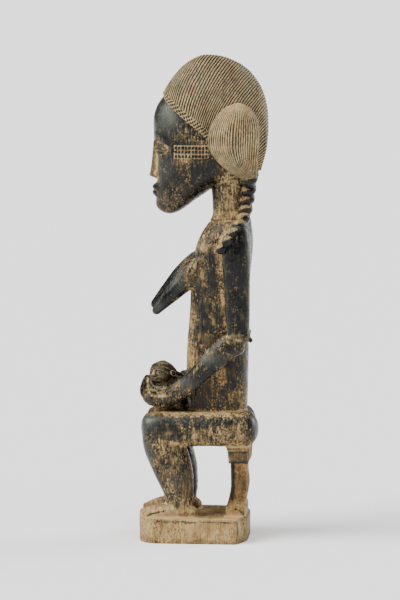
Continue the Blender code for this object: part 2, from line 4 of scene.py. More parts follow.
import bpy
import numpy as np
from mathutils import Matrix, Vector


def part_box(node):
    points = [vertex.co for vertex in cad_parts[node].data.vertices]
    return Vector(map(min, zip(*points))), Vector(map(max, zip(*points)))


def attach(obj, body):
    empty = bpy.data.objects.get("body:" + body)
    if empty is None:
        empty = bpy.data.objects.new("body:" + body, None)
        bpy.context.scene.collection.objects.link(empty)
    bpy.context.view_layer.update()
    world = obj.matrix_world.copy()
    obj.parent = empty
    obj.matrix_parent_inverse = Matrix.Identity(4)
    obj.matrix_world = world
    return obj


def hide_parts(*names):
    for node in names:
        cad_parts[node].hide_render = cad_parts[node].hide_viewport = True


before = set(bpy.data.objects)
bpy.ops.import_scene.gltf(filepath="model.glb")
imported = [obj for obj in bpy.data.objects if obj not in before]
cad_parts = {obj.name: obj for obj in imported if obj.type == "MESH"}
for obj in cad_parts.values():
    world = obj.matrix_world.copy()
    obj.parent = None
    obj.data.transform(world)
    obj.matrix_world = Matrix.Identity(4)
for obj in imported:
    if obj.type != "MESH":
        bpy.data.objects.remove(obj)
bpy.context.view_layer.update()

# The carving is drawn on a grid whose unit is 1 mm when the figure stands HEIGHT mm high
FOOT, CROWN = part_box("figure")
HEIGHT = 499.7
MM = (CROWN.z - FOOT.z) / HEIGHT
PLINTH_TOP = 25.5
SEAT = 98.5

# Fineness of the meshes: voxels in grid units, rounds of smoothing, triangles, and the weld in grid units
VOXEL = 0.95
SOFTENING = 5
BODY_FACES = 190000
WELD = 0.02

# Height of the tools' marks, and how far they lie inside the forms
CHISEL = 0.22
INSET = 0.15

# Her two sides: sign, how far back the thigh is drawn out, how far forwards and up the breast sits, how far
# forwards the arm leans, and how far forwards the hair's lobe, tie and braid hang
LEFT = (1, 4.0, 0.0, 0.0, 0.0)
RIGHT = (-1, -2.0, 4.5, 7.0, 3.0)

# The coiffure: counts of strands, of points across each and of beads, depths of grooves, the band of pits
# along the hairline, and how much closer together the lobes' strands lie where a lobe turns away
CAP_STRANDS = 66
CAP_GROOVE = 0.95
LOBE_STRANDS = 46
LOBE_GROOVE = 1.3
LOBE_EVEN = 0.045
PER_STRAND = 5
BEADS = 9
BAND = 7.4
PITS = 4.2
BAND_PROUD = 1.3

# Face, in grid units: its own plain proportions in thirds
BROW = 413.0
EYE = 403.0
NOSE_BASE = 374.0
MOUTH = 361.0
CHIN = 335.5
EYE_OUT = 13.0
EYE_WIDTH = 9.8
EYE_HEIGHT = 6.0


# Noise and curves


def hashed(cell, seed):
    """A repeatable random value from -1 to 1 for each cell of a lattice."""
    mix = cell[..., 0] * 374761393 + cell[..., 1] * 668265263 + cell[..., 2] * 1440662683
    mix = (mix + seed * 1274126177) & 0xFFFFFFFF
    mix = ((mix ^ (mix >> 13)) * 1274126177) & 0xFFFFFFFF
    return ((mix ^ (mix >> 16)) & 0xFFFF) / 32767.5 - 1


def noise(points, size, seed=0):
    """Smooth noise from -1 to 1 with features of this size, or of a size along each axis."""
    scaled = np.asarray(points, float) / size
    cell = np.floor(scaled).astype(np.int64)
    part = scaled - cell
    part = part * part * (3 - 2 * part)
    total = 0
    for corner in itertools.product((0, 1), repeat=3):
        share = np.prod(np.where(corner, part, 1 - part), axis=-1)
        total = total + share * hashed(cell + np.array(corner), seed)
    return total


def bell(distance, reach):
    return np.clip(1 - (distance / reach) ** 2, 0, None) ** 2


def smooth(low, high, value):
    share = np.clip((value - low) / (high - low), 0, 1)
    return share * share * (3 - 2 * share)


def spline(keys, at):
    """A smooth curve through the keys, read at fractional key numbers."""
    keys = np.asarray(keys, float)
    at = np.asarray(at, float)
    padded = np.vstack([2 * keys[0] - keys[1], keys, 2 * keys[-1] - keys[-2]])
    low = np.clip(np.floor(at).astype(int), 0, len(keys) - 2)
    part = (at - low)[..., None]
    a, b, c, d = (padded[low + step] for step in range(4))
    return 0.5 * (
        2 * b
        + (c - a) * part
        + (2 * a - 5 * b + 4 * c - d) * part**2
        + (3 * b - a - 3 * c + d) * part**3
    )


# Mesh building


def as_object(name, points, faces, values=None):
    """A mesh object from grid points, with named values stored at its points."""
    mesh = bpy.data.meshes.new(name)
    mesh.from_pydata((np.asarray(points) * MM).tolist(), [], faces)
    for label, numbers in (values or {}).items():
        store(mesh, label, numbers)
    obj = bpy.data.objects.new(name, mesh)
    bpy.context.scene.collection.objects.link(obj)
    return obj


def store(mesh, label, numbers):
    layer = mesh.attributes.get(label) or mesh.attributes.new(label, "FLOAT", "POINT")
    layer.data.foreach_set("value", np.ravel(numbers).astype(np.float32))


def stored(mesh, label):
    numbers = np.zeros(len(mesh.vertices), np.float32)
    if label in mesh.attributes:
        mesh.attributes[label].data.foreach_get("value", numbers)
    return numbers.astype(float)


def grid_points(mesh):
    flat = np.zeros(len(mesh.vertices) * 3)
    mesh.vertices.foreach_get("co", flat)
    return flat.reshape(-1, 3) / MM


def set_points(mesh, points):
    """Moves the points, which stay inside the figure's box."""
    mesh.vertices.foreach_set("co", np.clip(points * MM, FOOT, CROWN).ravel())
    mesh.update()


def normals(mesh):
    flat = np.zeros(len(mesh.vertices) * 3, np.float32)
    mesh.vertex_normals.foreach_get("vector", flat)
    return flat.reshape(-1, 3).astype(float)


def edges_of(mesh):
    flat = np.zeros(len(mesh.edges) * 2, np.int32)
    mesh.edges.foreach_get("vertices", flat)
    return flat.reshape(-1, 2)


def neighbour_sum(edges, numbers):
    total = np.bincount(edges[:, 0], numbers[edges[:, 1]], len(numbers))
    return total + np.bincount(edges[:, 1], numbers[edges[:, 0]], len(numbers))


def averaged(edges, numbers, rounds):
    """Each value moved halfway to the mean of its neighbours, several times over."""
    count = np.bincount(edges.ravel(), minlength=len(numbers))
    for _ in range(rounds):
        numbers = 0.5 * numbers + 0.5 * neighbour_sum(edges, numbers) / np.maximum(count, 1)
    return numbers


def applied(obj):
    """The object's mesh with its modifiers made real."""
    depsgraph = bpy.context.evaluated_depsgraph_get()
    mesh = bpy.data.meshes.new_from_object(obj.evaluated_get(depsgraph))
    obj.modifiers.clear()
    obj.data = mesh
    return mesh


def tube_faces(rings, sides):
    faces = []
    for ring in range(rings - 1):
        low, high = ring * sides, (ring + 1) * sides
        for side in range(sides):
            after = (side + 1) % sides
            faces.append((low + side, low + after, high + after, high + side))
    faces.append(tuple(range(sides - 1, -1, -1)))
    faces.append(tuple(range((rings - 1) * sides, rings * sides)))
    return faces


def stations(total, rings, ends):
    """Distances along a loft, closer together where an end rounds off."""
    quarter = 1 - np.cos(np.linspace(0.12, math.pi / 2, 7))
    first = ends[0] * quarter if ends[0] else np.zeros(1)
    last = total - ends[1] * quarter[::-1] if ends[1] else np.full(1, total)
    middle = np.linspace(first[-1], last[0], rings)[1:-1]
    return np.concatenate([first, middle, last])


def rounding(at, total, ends):
    kept = np.ones(len(at))
    for distance, reach in ((at, ends[0]), (total - at, ends[1])):
        if reach:
            short = np.clip(1 - distance / reach, 0, 1)
            kept *= np.sqrt(np.clip(1 - short**2, 0, 1))
    return kept


def loft(keys, rings=26, sides=30, ends=(0, 0), level=False, relief=None, angle=None, at=None):
    """Points and faces of a closed body through sections (x, y, z, half width, half depth, squareness).

    ends are the lengths over which it rounds off, level keeps its sections horizontal, and relief moves the
    points of the rings. angle and at replace the even spacing round and along it.
    """
    keys = np.asarray(keys, float)
    fine = np.linspace(0, len(keys) - 1, 40 * len(keys))
    steps = np.linalg.norm(np.diff(spline(keys, fine)[:, :3], axis=0), axis=1)
    length = np.concatenate([[0], np.cumsum(steps)])
    at = stations(length[-1], rings, ends) if at is None else at * length[-1]
    sections = spline(keys, np.interp(at, length, fine))
    centre = sections[:, :3]
    half = sections[:, 3:5] * rounding(at, length[-1], ends)[:, None]
    across = np.tile([1.0, 0.0, 0.0], (len(at), 1))
    deep = np.tile([0.0, 1.0, 0.0], (len(at), 1))
    if not level:
        tangent = np.gradient(centre, axis=0)
        tangent /= np.linalg.norm(tangent, axis=1)[:, None]
        across -= tangent * tangent[:, :1]
        across /= np.linalg.norm(across, axis=1)[:, None]
        deep = np.cross(tangent, across)
    if angle is None:
        angle = np.linspace(0, 2 * math.pi, sides, endpoint=False)
    power = 2 / sections[:, 5:6]
    cosine = np.sign(np.cos(angle)) * np.abs(np.cos(angle)) ** power
    sine = np.sign(np.sin(angle)) * np.abs(np.sin(angle)) ** power
    rim = (
        centre[:, None]
        + across[:, None] * (half[:, :1] * cosine)[..., None]
        + deep[:, None] * (half[:, 1:] * sine)[..., None]
    )
    if relief:
        rim = relief(rim, centre[:, None], angle[None, :], (at / at[-1])[:, None])
    return rim.reshape(-1, 3), tube_faces(*rim.shape[:2])


def ball(centre, radii, sides=20):
    """An ellipsoid, as a loft along Z."""
    turn = np.linspace(-math.pi / 2 + 0.1, math.pi / 2 - 0.1, sides // 2)
    angle = np.linspace(0, 2 * math.pi, sides, endpoint=False)
    flat = np.cos(turn)[:, None]
    shape = (flat * np.cos(angle), flat * np.sin(angle), np.sin(turn)[:, None] + 0 * angle)
    return (np.stack(shape, axis=-1) * radii + centre).reshape(-1, 3), tube_faces(sides // 2, sides)


def slab(outline, low, high, taper=1.0, middle=(0, 0)):
    """An upright prism; taper shrinks its underside about middle."""
    outline, middle = np.asarray(outline, float), np.asarray(middle, float)
    rings = []
    for share in np.linspace(0, 1, 8):
        scale = taper + (1 - taper) * share
        flat = middle + (outline - middle) * scale
        rings.append(np.column_stack([flat, np.full(len(flat), low + (high - low) * share)]))
    return np.concatenate(rings), tube_faces(8, len(outline))


def side_of(keys, sign):
    return [(sign * key[0], *key[1:]) for key in keys]


# The body's forms, in grid units; sign is 1 on her left, the camera's side, and -1 on her right


def plinth():
    front, side, back = -56.5, 48.0, 56.5
    corner, cut, toe = 10.0, 24.0, 9.0
    half = [
        (side * 0.25, front),
        (side - cut * 0.62, front + toe * 0.35),
        (side - cut * 0.22, front + toe),
        (side, front + toe + corner),
        (side, back - corner),
        (side - cut, back),
    ]
    return [slab(half + [(-x, y) for x, y in reversed(half)], 0.0, PLINTH_TOP)]


def stool():
    def oblong(half_x, low_y, high_y):
        return [(half_x, low_y), (half_x, high_y), (-half_x, high_y), (-half_x, low_y)]

    profile = [
        (0, 44.0, 33.0, 15.3, 11.3, 3.0),
        (0, 44.8, 40.3, 13.9, 9.6, 3.0),
        (0, 46.8, 50.7, 16.0, 9.4, 3.0),
        (0, 47.4, 60.1, 16.6, 9.7, 3.0),
        (0, 46.6, 72.6, 15.6, 9.2, 3.0),
        (0, 46.6, 85.0, 15.6, 9.8, 3.0),
    ]
    return [
        slab(oblong(30.0, 36.0, 58.5), 80.5, SEAT - 4, 0.92, (0, 47)),
        slab(oblong(31.0, 35.0, 59.5), SEAT - 3, SEAT + 4),
        slab(oblong(6.5, 30.0, 56.5), SEAT, 118.0),
        slab(oblong(28.5, 34.0, 54.0), PLINTH_TOP - 3, 36.0),
        loft(profile, level=True),
    ]


def leg(sign, seat):
    thigh = [
        (23.0, -53.5, 113.5, 17.0, 17.0, 2.5),
        (23.0, -36.0, 115.5, 19.0, 18.0, 2.9),
        (23.0, -10.0, 116.5, 19.8, 18.4, 3.0),
        (22.5, 20.0, 117.0, 20.0, 18.6, 3.0),
        (21.5, 45.0, 117.0, 20.0, 18.6, 2.9),
        (20.0, 64.0 + seat, 117.0, 19.0, 18.0, 2.5),
    ]
    shin = [
        (25.0, -12.0, 28.0, 13.0, 15.5, 2.2),
        (25.0, -14.2, 37.0, 12.8, 13.8, 2.3),
        (25.0, -14.0, 47.0, 13.4, 15.4, 2.4),
        (25.0, -17.4, 61.0, 14.5, 18.4, 2.4),
        (25.0, -21.5, 76.0, 16.0, 21.5, 2.5),
        (24.5, -27.0, 92.0, 17.0, 22.5, 2.7),
        (24.0, -32.0, 108.0, 17.0, 20.5, 2.7),
        (23.5, -34.0, 118.0, 16.0, 17.0, 2.7),
    ]
    sole = [
        (24.5, 5.5, 28.5, 9.0, 5.0, 2.4),
        (25.0, -8.0, 30.0, 12.0, 9.0, 2.4),
        (25.5, -22.0, 30.5, 12.8, 9.6, 2.4),
        (26.0, -36.0, 29.0, 13.2, 8.4, 2.4),
        (26.0, -48.0, 27.5, 13.2, 5.6, 2.4),
    ]
    forms = [
        loft(side_of(thigh, sign), ends=(10, 13)),
        loft(side_of(shin, sign), level=True),
        loft(side_of(sole, sign), ends=(5, 0)),
    ]
    for toe, reach in enumerate((-55.5, -55.0, -54.0, -52.5, -50.5)):
        across = 16.0 + 5.1 * toe
        keys = [(across, -42.0, 28.5, 2.7, 6.0, 2.2), (across, reach, 27.0, 2.2, 4.0, 2.2)]
        forms.append(loft(side_of(keys, sign), 10, 12))
    return forms


def torso():
    body = [
        (0, 24.8, 108, 24.0, 29.2, 3.0),
        (0, 24.0, 135, 25.0, 30.5, 3.0),
        (0, 23.5, 158, 26.0, 31.8, 2.9),
        (0, 23.5, 180, 26.0, 32.0, 2.8),
        (0, 24.3, 205, 25.5, 31.5, 2.8),
        (0, 25.5, 235, 26.0, 30.5, 2.8),
        (0, 26.8, 267, 28.5, 30.0, 2.7),
        (0, 30.5, 300, 32.0, 29.5, 2.5),
        (0, 34.0, 318, 29.5, 26.0, 2.4),
        (0, 37.0, 330, 23.0, 21.0, 2.2),
        (0, 38.0, 340, 16.5, 18.5, 2.1),
    ]
    neck = [
        (0, 38.0, 325, 18.0, 19.0, 2.2),
        (0, 37.6, 345, 17.3, 19.5, 2.2),
        (0, 37.2, 362, 17.2, 20.3, 2.2),
        (0, 36.5, 385, 18.5, 22.0, 2.2),
    ]
    return [loft(body, 50, 44, level=True), loft(neck, level=True)]


def breast(sign, rise):
    axis = [
        (13.0, 17.0, 290.0, 13.5, 15.0),
        (13.5, 3.0, 279.5, 13.2, 13.2),
        (14.0, -10.5, 266.5, 11.4, 10.8),
        (15.0, -22.5, 254.0, 8.8, 8.4),
        (15.0, -33.0, 242.8, 6.3, 6.2),
        (15.0, -41.5, 233.6, 3.8, 3.9),
    ]
    keys = []
    for x, y, z, wide, deep in axis:
        out = rise * min(max((15.0 - y) / 18.0, 0), 1)
        keys.append((x, y - out, z + 0.8 * out, wide, deep, 2.0))
    return [loft(side_of(keys, sign), ends=(0, 4))]


def arm(sign, lean):
    upper = [
        (28.0, 46.0, 329.0, 10.5, 10.5, 2.2),
        (33.0, 45.4, 318.0, 12.5, 14.2, 2.3),
        (36.2, 45.4, 300.0, 12.3, 15.0, 2.5),
        (37.0, 46.5, 262.0, 11.2, 13.3, 2.6),
        (37.5, 47.4, 228.0, 11.0, 12.2, 2.6),
        (37.5, 47.6, 205.0, 10.8, 11.8, 2.5),
    ]
    band = [
        (37.5, 47.2, 215.4, 10.6, 11.6, 2.6),
        (37.5, 47.4, 214.4, 12.2, 13.2, 2.6),
        (37.5, 48.2, 211.8, 12.2, 13.2, 2.6),
        (37.5, 48.4, 210.8, 10.6, 11.6, 2.6),
    ]
    fore = [
        (37.5, 54.0, 209.0, 10.0, 11.0, 2.3),
        (37.5, 34.0, 200.5, 10.8, 12.8, 2.4),
        (35.5, 15.0, 181.3, 10.3, 11.0, 2.4),
        (31.0, -2.5, 163.5, 9.7, 10.2, 2.4),
        (28.0, -13.4, 155.5, 9.4, 9.6, 2.4),
        (25.0, -22.0, 149.8, 9.2, 9.8, 2.3),
    ]

    def leant(keys):
        placed = []
        for x, y, z, *rest in keys:
            share = min(max((y + 23) / 68, 0), 1) * min(max((345 - z) / 90, 0), 1)
            placed.append((sign * x, y - lean * share, z, *rest))
        return placed

    return [
        loft(leant(upper), ends=(9, 7)),
        loft(leant(band), 8, 36),
        loft(leant(fore), ends=(7, 0)),
        ball(leant([(38.5, 60.6, 210.0)])[0], (3.4, 2.6, 3.2)),
    ]


def near_hand():
    """Her left hand: a palm under the child and four fingers that close up in front of it."""
    palm = [
        (25.5, -21.0, 149.0, 9.2, 9.8, 2.3),
        (21.5, -32.0, 146.5, 9.6, 8.6, 2.4),
        (17.5, -43.0, 146.5, 8.4, 7.8, 2.4),
        (12.0, -50.0, 151.5, 5.6, 6.6, 2.2),
    ]
    thumb = [
        (25.5, -23.0, 153.0, 3.6, 4.0, 2.2),
        (24.5, -30.0, 153.6, 3.2, 3.2, 2.2),
        (21.5, -37.0, 153.0, 2.5, 2.5, 2.2),
    ]
    forms = [loft(palm, ends=(0, 5)), loft(thumb, 14, 14, ends=(0, 2.5))]
    for finger in range(4):
        out, along = 22.4 - 1.9 * finger, -37.0 - 4.3 * finger
        keys = [
            (out, along + 1.0, 142.5, 2.6, 2.3, 2.2),
            (out - 0.6, along, 148.0, 2.5, 2.2, 2.2),
            (out - 2.6, along + 0.8, 152.0 + 0.6 * finger, 2.1, 1.9, 2.2),
        ]
        forms.append(loft(keys, 14, 14, ends=(0, 2)))
    return forms


def far_hand():
    """Her right hand, which cups the child from below with four fingers raised in front of it."""
    palm = [
        (-25.5, -21.0, 151.0, 9.2, 9.8, 2.3),
        (-20.0, -33.0, 148.5, 9.8, 8.6, 2.4),
        (-12.0, -43.0, 147.5, 8.6, 8.0, 2.4),
    ]
    heel = [(-16.0, -22.0, 142.0, 10.0, 8.0, 2.2), (-10.0, -8.0, 141.0, 12.0, 8.0, 2.2)]
    forms = [
        loft(palm, ends=(0, 5)),
        loft(heel, 14, 20, ends=(5, 5)),
        ball((0.0, -44.8, 149.0), (12.5, 8.6, 9.4)),
    ]
    for finger in range(4):
        across = -9.0 + 5.4 * finger
        tip = 168.5 - 1.1 * (finger - 1.5) ** 2
        keys = [
            (across, -46.0, 143.5, 3.4, 3.2, 2.2),
            (across, -52.6, 149.0, 3.3, 3.2, 2.2),
            (across, -53.5, 156.0, 3.2, 3.0, 2.2),
            (across, -50.6, 162.5, 3.0, 3.8, 2.2),
            (across, -48.2, tip, 2.6, 3.2, 2.2),
        ]
        forms.append(loft(keys, 18, 16, ends=(2, 2.5)))
    return forms


def child():
    # The core of the head, which child_head() covers
    core = [
        (4.5, -30.0, 157.5, 7.0, 8.0, 2.1),
        (4.5, -31.0, 163.5, 8.0, 9.0, 2.2),
        (4.5, -32.0, 172.0, 6.0, 7.0, 2.2),
    ]
    trunk = [
        (2.5, -49.0, 153.5, 9.5, 8.0, 2.2),
        (3.5, -38.0, 153.0, 12.5, 10.0, 2.3),
        (4.0, -28.0, 153.5, 13.5, 10.5, 2.3),
        (4.0, -16.0, 155.0, 13.0, 10.5, 2.3),
        (2.0, -3.0, 156.0, 10.0, 9.0, 2.2),
    ]
    near_arm = [
        (14.5, -27.0, 160.0, 4.2, 4.2, 2.1),
        (17.0, -33.0, 156.5, 3.9, 3.9, 2.1),
        (14.5, -40.0, 157.5, 3.4, 3.4, 2.1),
        (9.0, -45.0, 163.0, 3.0, 3.0, 2.1),
    ]
    far_arm = side_of(near_arm, -1)
    forms = [
        loft(core, ends=(4, 4), level=True),
        loft(trunk, ends=(4, 4)),
        loft(near_arm, 16, 14, ends=(0, 2)),
        loft([(x + 5, *rest) for x, *rest in far_arm], 16, 14, ends=(0, 2)),
        ball((6.5, -45.0, 164.0), (5.0, 4.6, 4.6)),
        ball((-2.0, -45.5, 164.0), (6.0, 4.6, 5.0)),
        ball((1.0, -19.5, 164.5), (10.0, 8.0, 8.6)),
    ]
    for out, top in ((8.0, 172.0), (-7.5, 177.0)):
        thigh = [
            (out, -17.0, 154.0, 5.4, 5.6, 2.1),
            (out, -12.5, 163.0, 5.2, 5.4, 2.1),
            (out, -10.5, top - 4.0, 5.0, 5.4, 2.1),
        ]
        calf = [
            (out, -9.0, top - 3.5, 4.4, 4.4, 2.1),
            (out, -4.0, top - 12.0, 4.0, 4.0, 2.1),
            (out, -3.0, 150.0, 3.6, 3.6, 2.1),
        ]
        forms.append(loft(thigh, 14, 14, ends=(0, 4)))
        forms.append(loft(calf, 14, 14, ends=(3, 0)))
    return forms


def union_of(name, forms):
    """One mesh object that holds all these overlapping closed bodies."""
    points, faces, start = [], [], 0
    for corners, rings in forms:
        points.append(corners)
        faces += [tuple(index + start for index in face) for face in rings]
        start += len(corners)
    return as_object(name, np.concatenate(points), faces)


def carve_lines(points):
    """Depth of the lines cut into the body, in grid units."""
    x, y, z = points.T
    collar = 0.9 * bell(z - (331.0 + 0.10 * (y - 38.0)), 1.6) * (np.hypot(x, y - 38.0) < 27)
    lap = 0.8 * bell(z - 135.5, 1.5) * (np.abs(x) < 30)
    spine = 0.9 * bell(x, 2.2) * (y > 45) * smooth(150, 170, z) * (1 - smooth(300, 318, z))
    slot = 0.7 * bell(x, 1.5) * (y < 40) * (z > 120) * (z < 140)
    return collar + lap + spine + slot


def chisel_marks(points):
    """Shallow facets and dents that the adze and wear left, in grid units."""
    broad = noise(points, (9.0, 9.0, 16.0), 1)
    facets = np.abs(noise(points, (6.0, 6.0, 11.0), 2)) - 0.3
    fine = noise(points, 2.6, 3)
    return CHISEL * (1.2 * broad + 0.9 * facets + 0.35 * fine)


def plinth_cracks(points):
    """Drying cracks: along the plinth's near top edge, over the near toes, and down the plinth's chamfer."""
    x, y, z = points.T
    edge = 0.9 * bell(z - (23.6 + 0.4 * noise(points, 9.0, 5)), 0.9) * (x > 44) * (y > -34) * (y < 46)
    line = x - (30.0 + 0.45 * (y + 40)) - 1.5 * noise(points, 8.0, 6)
    toes = 1.3 * bell(line, 1.0) * (y > -46) * (y < -27) * (z > 24) * (z < 33)
    chamfer = 0.6 * bell(y - (46.8 + 0.8 * noise(points, 7.0, 7)), 1.0) * (x > 30) * (z < 24)
    return edge + toes + chamfer


def carved_body():
    """All but the two heads: the forms melted together, smoothed, and marked by the tools."""
    forms = [*plinth(), *stool(), *torso(), *child()]
    for sign, seat, rise, lean, _ in (LEFT, RIGHT):
        forms += leg(sign, seat) + breast(sign, rise) + arm(sign, lean)
    forms += near_hand() + far_hand()
    body = union_of("carved_body", forms)
    remesh = body.modifiers.new("melt", "REMESH")
    remesh.mode = "VOXEL"
    remesh.voxel_size = VOXEL * MM
    soften = body.modifiers.new("soften", "SMOOTH")
    soften.factor = 0.5
    soften.iterations = SOFTENING
    mesh = applied(body)
    points, normal = grid_points(mesh), normals(mesh)
    depth = carve_lines(points) + plinth_cracks(points)
    moved = points + normal * (chisel_marks(points) - depth - INSET)[:, None]
    moved[:, 2] = np.where(points[:, 2] < 1.0, 0, np.maximum(moved[:, 2], 0))
    set_points(mesh, moved)
    if len(mesh.polygons) * 2 > BODY_FACES:
        thin = body.modifiers.new("thin", "DECIMATE")
        thin.ratio = BODY_FACES / (2 * len(mesh.polygons))
        applied(body)
    return body


# The head and its hair


HEAD_LEVELS = [
    (CHIN, -30.0, -22.0, 5.0, 2.0),
    (341.0, -36.0, -12.0, 11.5, 2.1),
    (350.0, -38.5, 0.0, 16.5, 2.2),
    (361.0, -38.5, 16.0, 21.5, 2.3),
    (374.0, -38.0, 34.0, 26.0, 2.4),
    (388.0, -38.5, 44.0, 29.0, 2.5),
    (403.0, -40.0, 52.0, 30.5, 2.5),
    (420.0, -42.0, 56.0, 31.0, 2.4),
    (436.0, -42.0, 57.0, 30.5, 2.3),
    (450.0, -37.0, 57.0, 28.5, 2.2),
    (464.0, -25.0, 52.0, 24.0, 2.1),
    (478.0, -8.0, 44.0, 16.0, 2.0),
]

# A middling section of the head: half its width, half its depth, and its squareness
HEAD_SECTION = (31, 49, 2.45)

# Temple scars: rows of raised squares on each side of the face
SCAR_ROWS = 3
SCAR_COLUMNS = 10
SCAR_FRONT, SCAR_BACK = -18.6, 16.3
SCAR_LOW, SCAR_HIGH = 394.5, 407.4


def scar_cells(y, z):
    """1 in the grooves between the temple's raised squares, 0 on them, and 1 inside their field."""
    along = (y - SCAR_FRONT) / (SCAR_BACK - SCAR_FRONT)
    up = (z - SCAR_LOW) / (SCAR_HIGH - SCAR_LOW)
    inside = (along > -0.01) & (along < 1.01) & (up > -0.04) & (up < 1.04)
    across = np.abs((along * SCAR_COLUMNS) % 1 - 0.5)
    over = np.abs((up * SCAR_ROWS) % 1 - 0.5)
    return smooth(0.31, 0.43, np.maximum(across, over)) * inside, inside * 1.0


def face(rim, centre, angle, share):
    """Brows, sockets, eyelids, nose, lips and chin, on plain proportions of its own, and temple scars."""
    x, z = np.abs(rim[..., 0]), rim[..., 2]
    front = np.clip(-np.sin(angle) * 1.6, 0, 1) * np.ones_like(x)
    brow_line = BROW + 1.0 - 0.030 * (x - 11.0) ** 2
    below = (brow_line - z) / 29.0
    socket = smooth(0, 0.10, below) * np.clip(1 - below, 0, 1) ** 1.2
    socket *= smooth(2.0, 7.5, x) * np.clip(1.25 - (x / 27.0) ** 4, 0, 1)
    forward = -5.6 * socket + 0.5 * bell(z - brow_line - 3.0, 6.0) * smooth(0.5, 9, x)
    lid = 1 - (np.abs(x - EYE_OUT) / EYE_WIDTH) ** 1.7 - (np.abs(z - EYE) / EYE_HEIGHT) ** 1.7
    forward += 4.0 * np.sqrt(np.clip(lid, 0, 1))
    slit = z - (EYE - 0.9 - 0.026 * (x - EYE_OUT) ** 2)
    forward -= 1.3 * bell(slit, 1.1) * smooth(0.02, 0.2, lid)
    forward += 0.7 * bell(slit - 1.9, 1.2) * smooth(0.02, 0.2, lid)
    forward -= 0.9 * bell(lid + 0.08, 0.2)
    down = np.clip((BROW + 2 - z) / (BROW + 2 - NOSE_BASE), 0, 1)
    ridge = np.clip(1 - (x / (4.0 + 3.6 * down**2)) ** 2, 0, 1) ** 0.6
    tip = smooth(NOSE_BASE - 2.5, NOSE_BASE + 1.5, z)
    forward += (0.8 + 8.2 * down) * ridge * tip * np.clip(down * 8, 0, 1)
    forward += 3.4 * bell(np.hypot((x - 6.0) / 3.6, (z - NOSE_BASE - 3.4) / 4.2), 1.2)
    forward -= 2.0 * bell(np.hypot(x - 3.6, z - NOSE_BASE - 0.4), 1.9)
    forward += 2.6 * bell(np.hypot(x / 17.0, (z - MOUTH) / 14.0), 1)
    for height, reach, out in ((MOUTH + 3.2, 4.6, 3.0), (MOUTH - 3.4, 4.8, 2.7)):
        bow = height - 0.012 * x**2
        forward += out * bell(z - bow, reach) ** 0.7 * np.clip(1 - (x / 12.0) ** 2, 0, 1) ** 0.7
    forward -= 0.9 * bell(z - MOUTH + 0.012 * x**2, 1.4) * np.clip(1 - (x / 12.0) ** 2, 0, 1)
    forward -= 0.8 * bell(x, 1.8) * smooth(MOUTH + 4, MOUTH + 7, z) * smooth(NOSE_BASE, NOSE_BASE - 3, z)
    forward += 2.4 * bell(np.hypot(x / 12.0, (z - 345.0) / 9.0), 1)
    rim[..., 1] -= forward * front
    grooves, field = scar_cells(rim[..., 1], z)
    sideways = np.sign(rim[..., 0]) * np.clip(np.abs(np.cos(angle)) * 1.5, 0, 1)
    rim[..., 0] += sideways * (0.55 * field - 1.05 * grooves)
    return rim


def even_angles(count, start, stop, half, deep, square):
    """Angles round a section whose points lie evenly spaced along it."""
    fine = np.linspace(start, stop, 4000)
    x, y = (np.sign(turn) * np.abs(turn) ** (2 / square) for turn in (np.cos(fine), np.sin(fine)))
    length = np.concatenate([[0], np.cumsum(np.hypot(np.diff(half * x), np.diff(deep * y)))])
    return np.interp(np.linspace(0, length[-1], count), length, fine)


def head_keys():
    """The head's sections, for a loft."""
    return [
        (0, (front + back) / 2, z, half, (back - front) / 2, square)
        for z, front, back, half, square in HEAD_LEVELS
    ]


def head():
    # Closer together where the face and the temples show than behind and under the hair
    behind = 0.25
    angle = np.concatenate(
        [
            even_angles(212, -math.pi - behind, behind, *HEAD_SECTION),
            np.linspace(behind, math.pi - behind, 14)[1:-1],
        ]
    )
    at = np.concatenate([[0.004], np.linspace(0.012, 0.86, 165), np.linspace(0.86, 1, 7)[1:]])
    points, faces = loft(head_keys(), level=True, relief=face, angle=angle, at=at, ends=(3, 0))
    grooves, field = scar_cells(points[:, 1], points[:, 2])
    values = {"groove": grooves * (np.abs(points[:, 0]) > 20), "hair": np.zeros(len(points))}
    return as_object("head", points, faces, values)


# The child's head: where the underside of its chin is, its size against hers along each axis, its turn and
# tilt, its width low down, how much of that it loses at the crown, and how far it leans on its way up
CHILD_CHIN = np.array([4.5, -32.5, 161.5])
CHILD_SIZE = np.array([0.37, 0.265, 0.160])
CHILD_TURN = math.radians(52)
CHILD_TILT = math.radians(-8)
CHILD_WIDTH, CHILD_TAPER = 1.34, 0.78
CHILD_LEAN = 4.5


def child_face(rim, centre, angle, share):
    """Her face's plain proportions again, with ears and the raised edge of short hair."""
    rim = face(rim, centre, angle, share)
    y, z = rim[..., 1], rim[..., 2]
    out = rim - centre
    out = out / np.maximum(np.linalg.norm(out, axis=-1, keepdims=True), 1e-6)
    ear = np.hypot((y - 6) / 11, (z - 400) / 19)
    raised = 5.0 * bell(ear - 0.85, 0.45) + 3.6 * bell(ear, 0.5)
    edge = 448 - 0.8 * (y + 40)
    raised = raised * (np.abs(np.cos(angle)) > 0.3) + 3.0 * smooth(edge - 2, edge + 3, z) * (y < 40)
    return rim + out * raised[..., None]


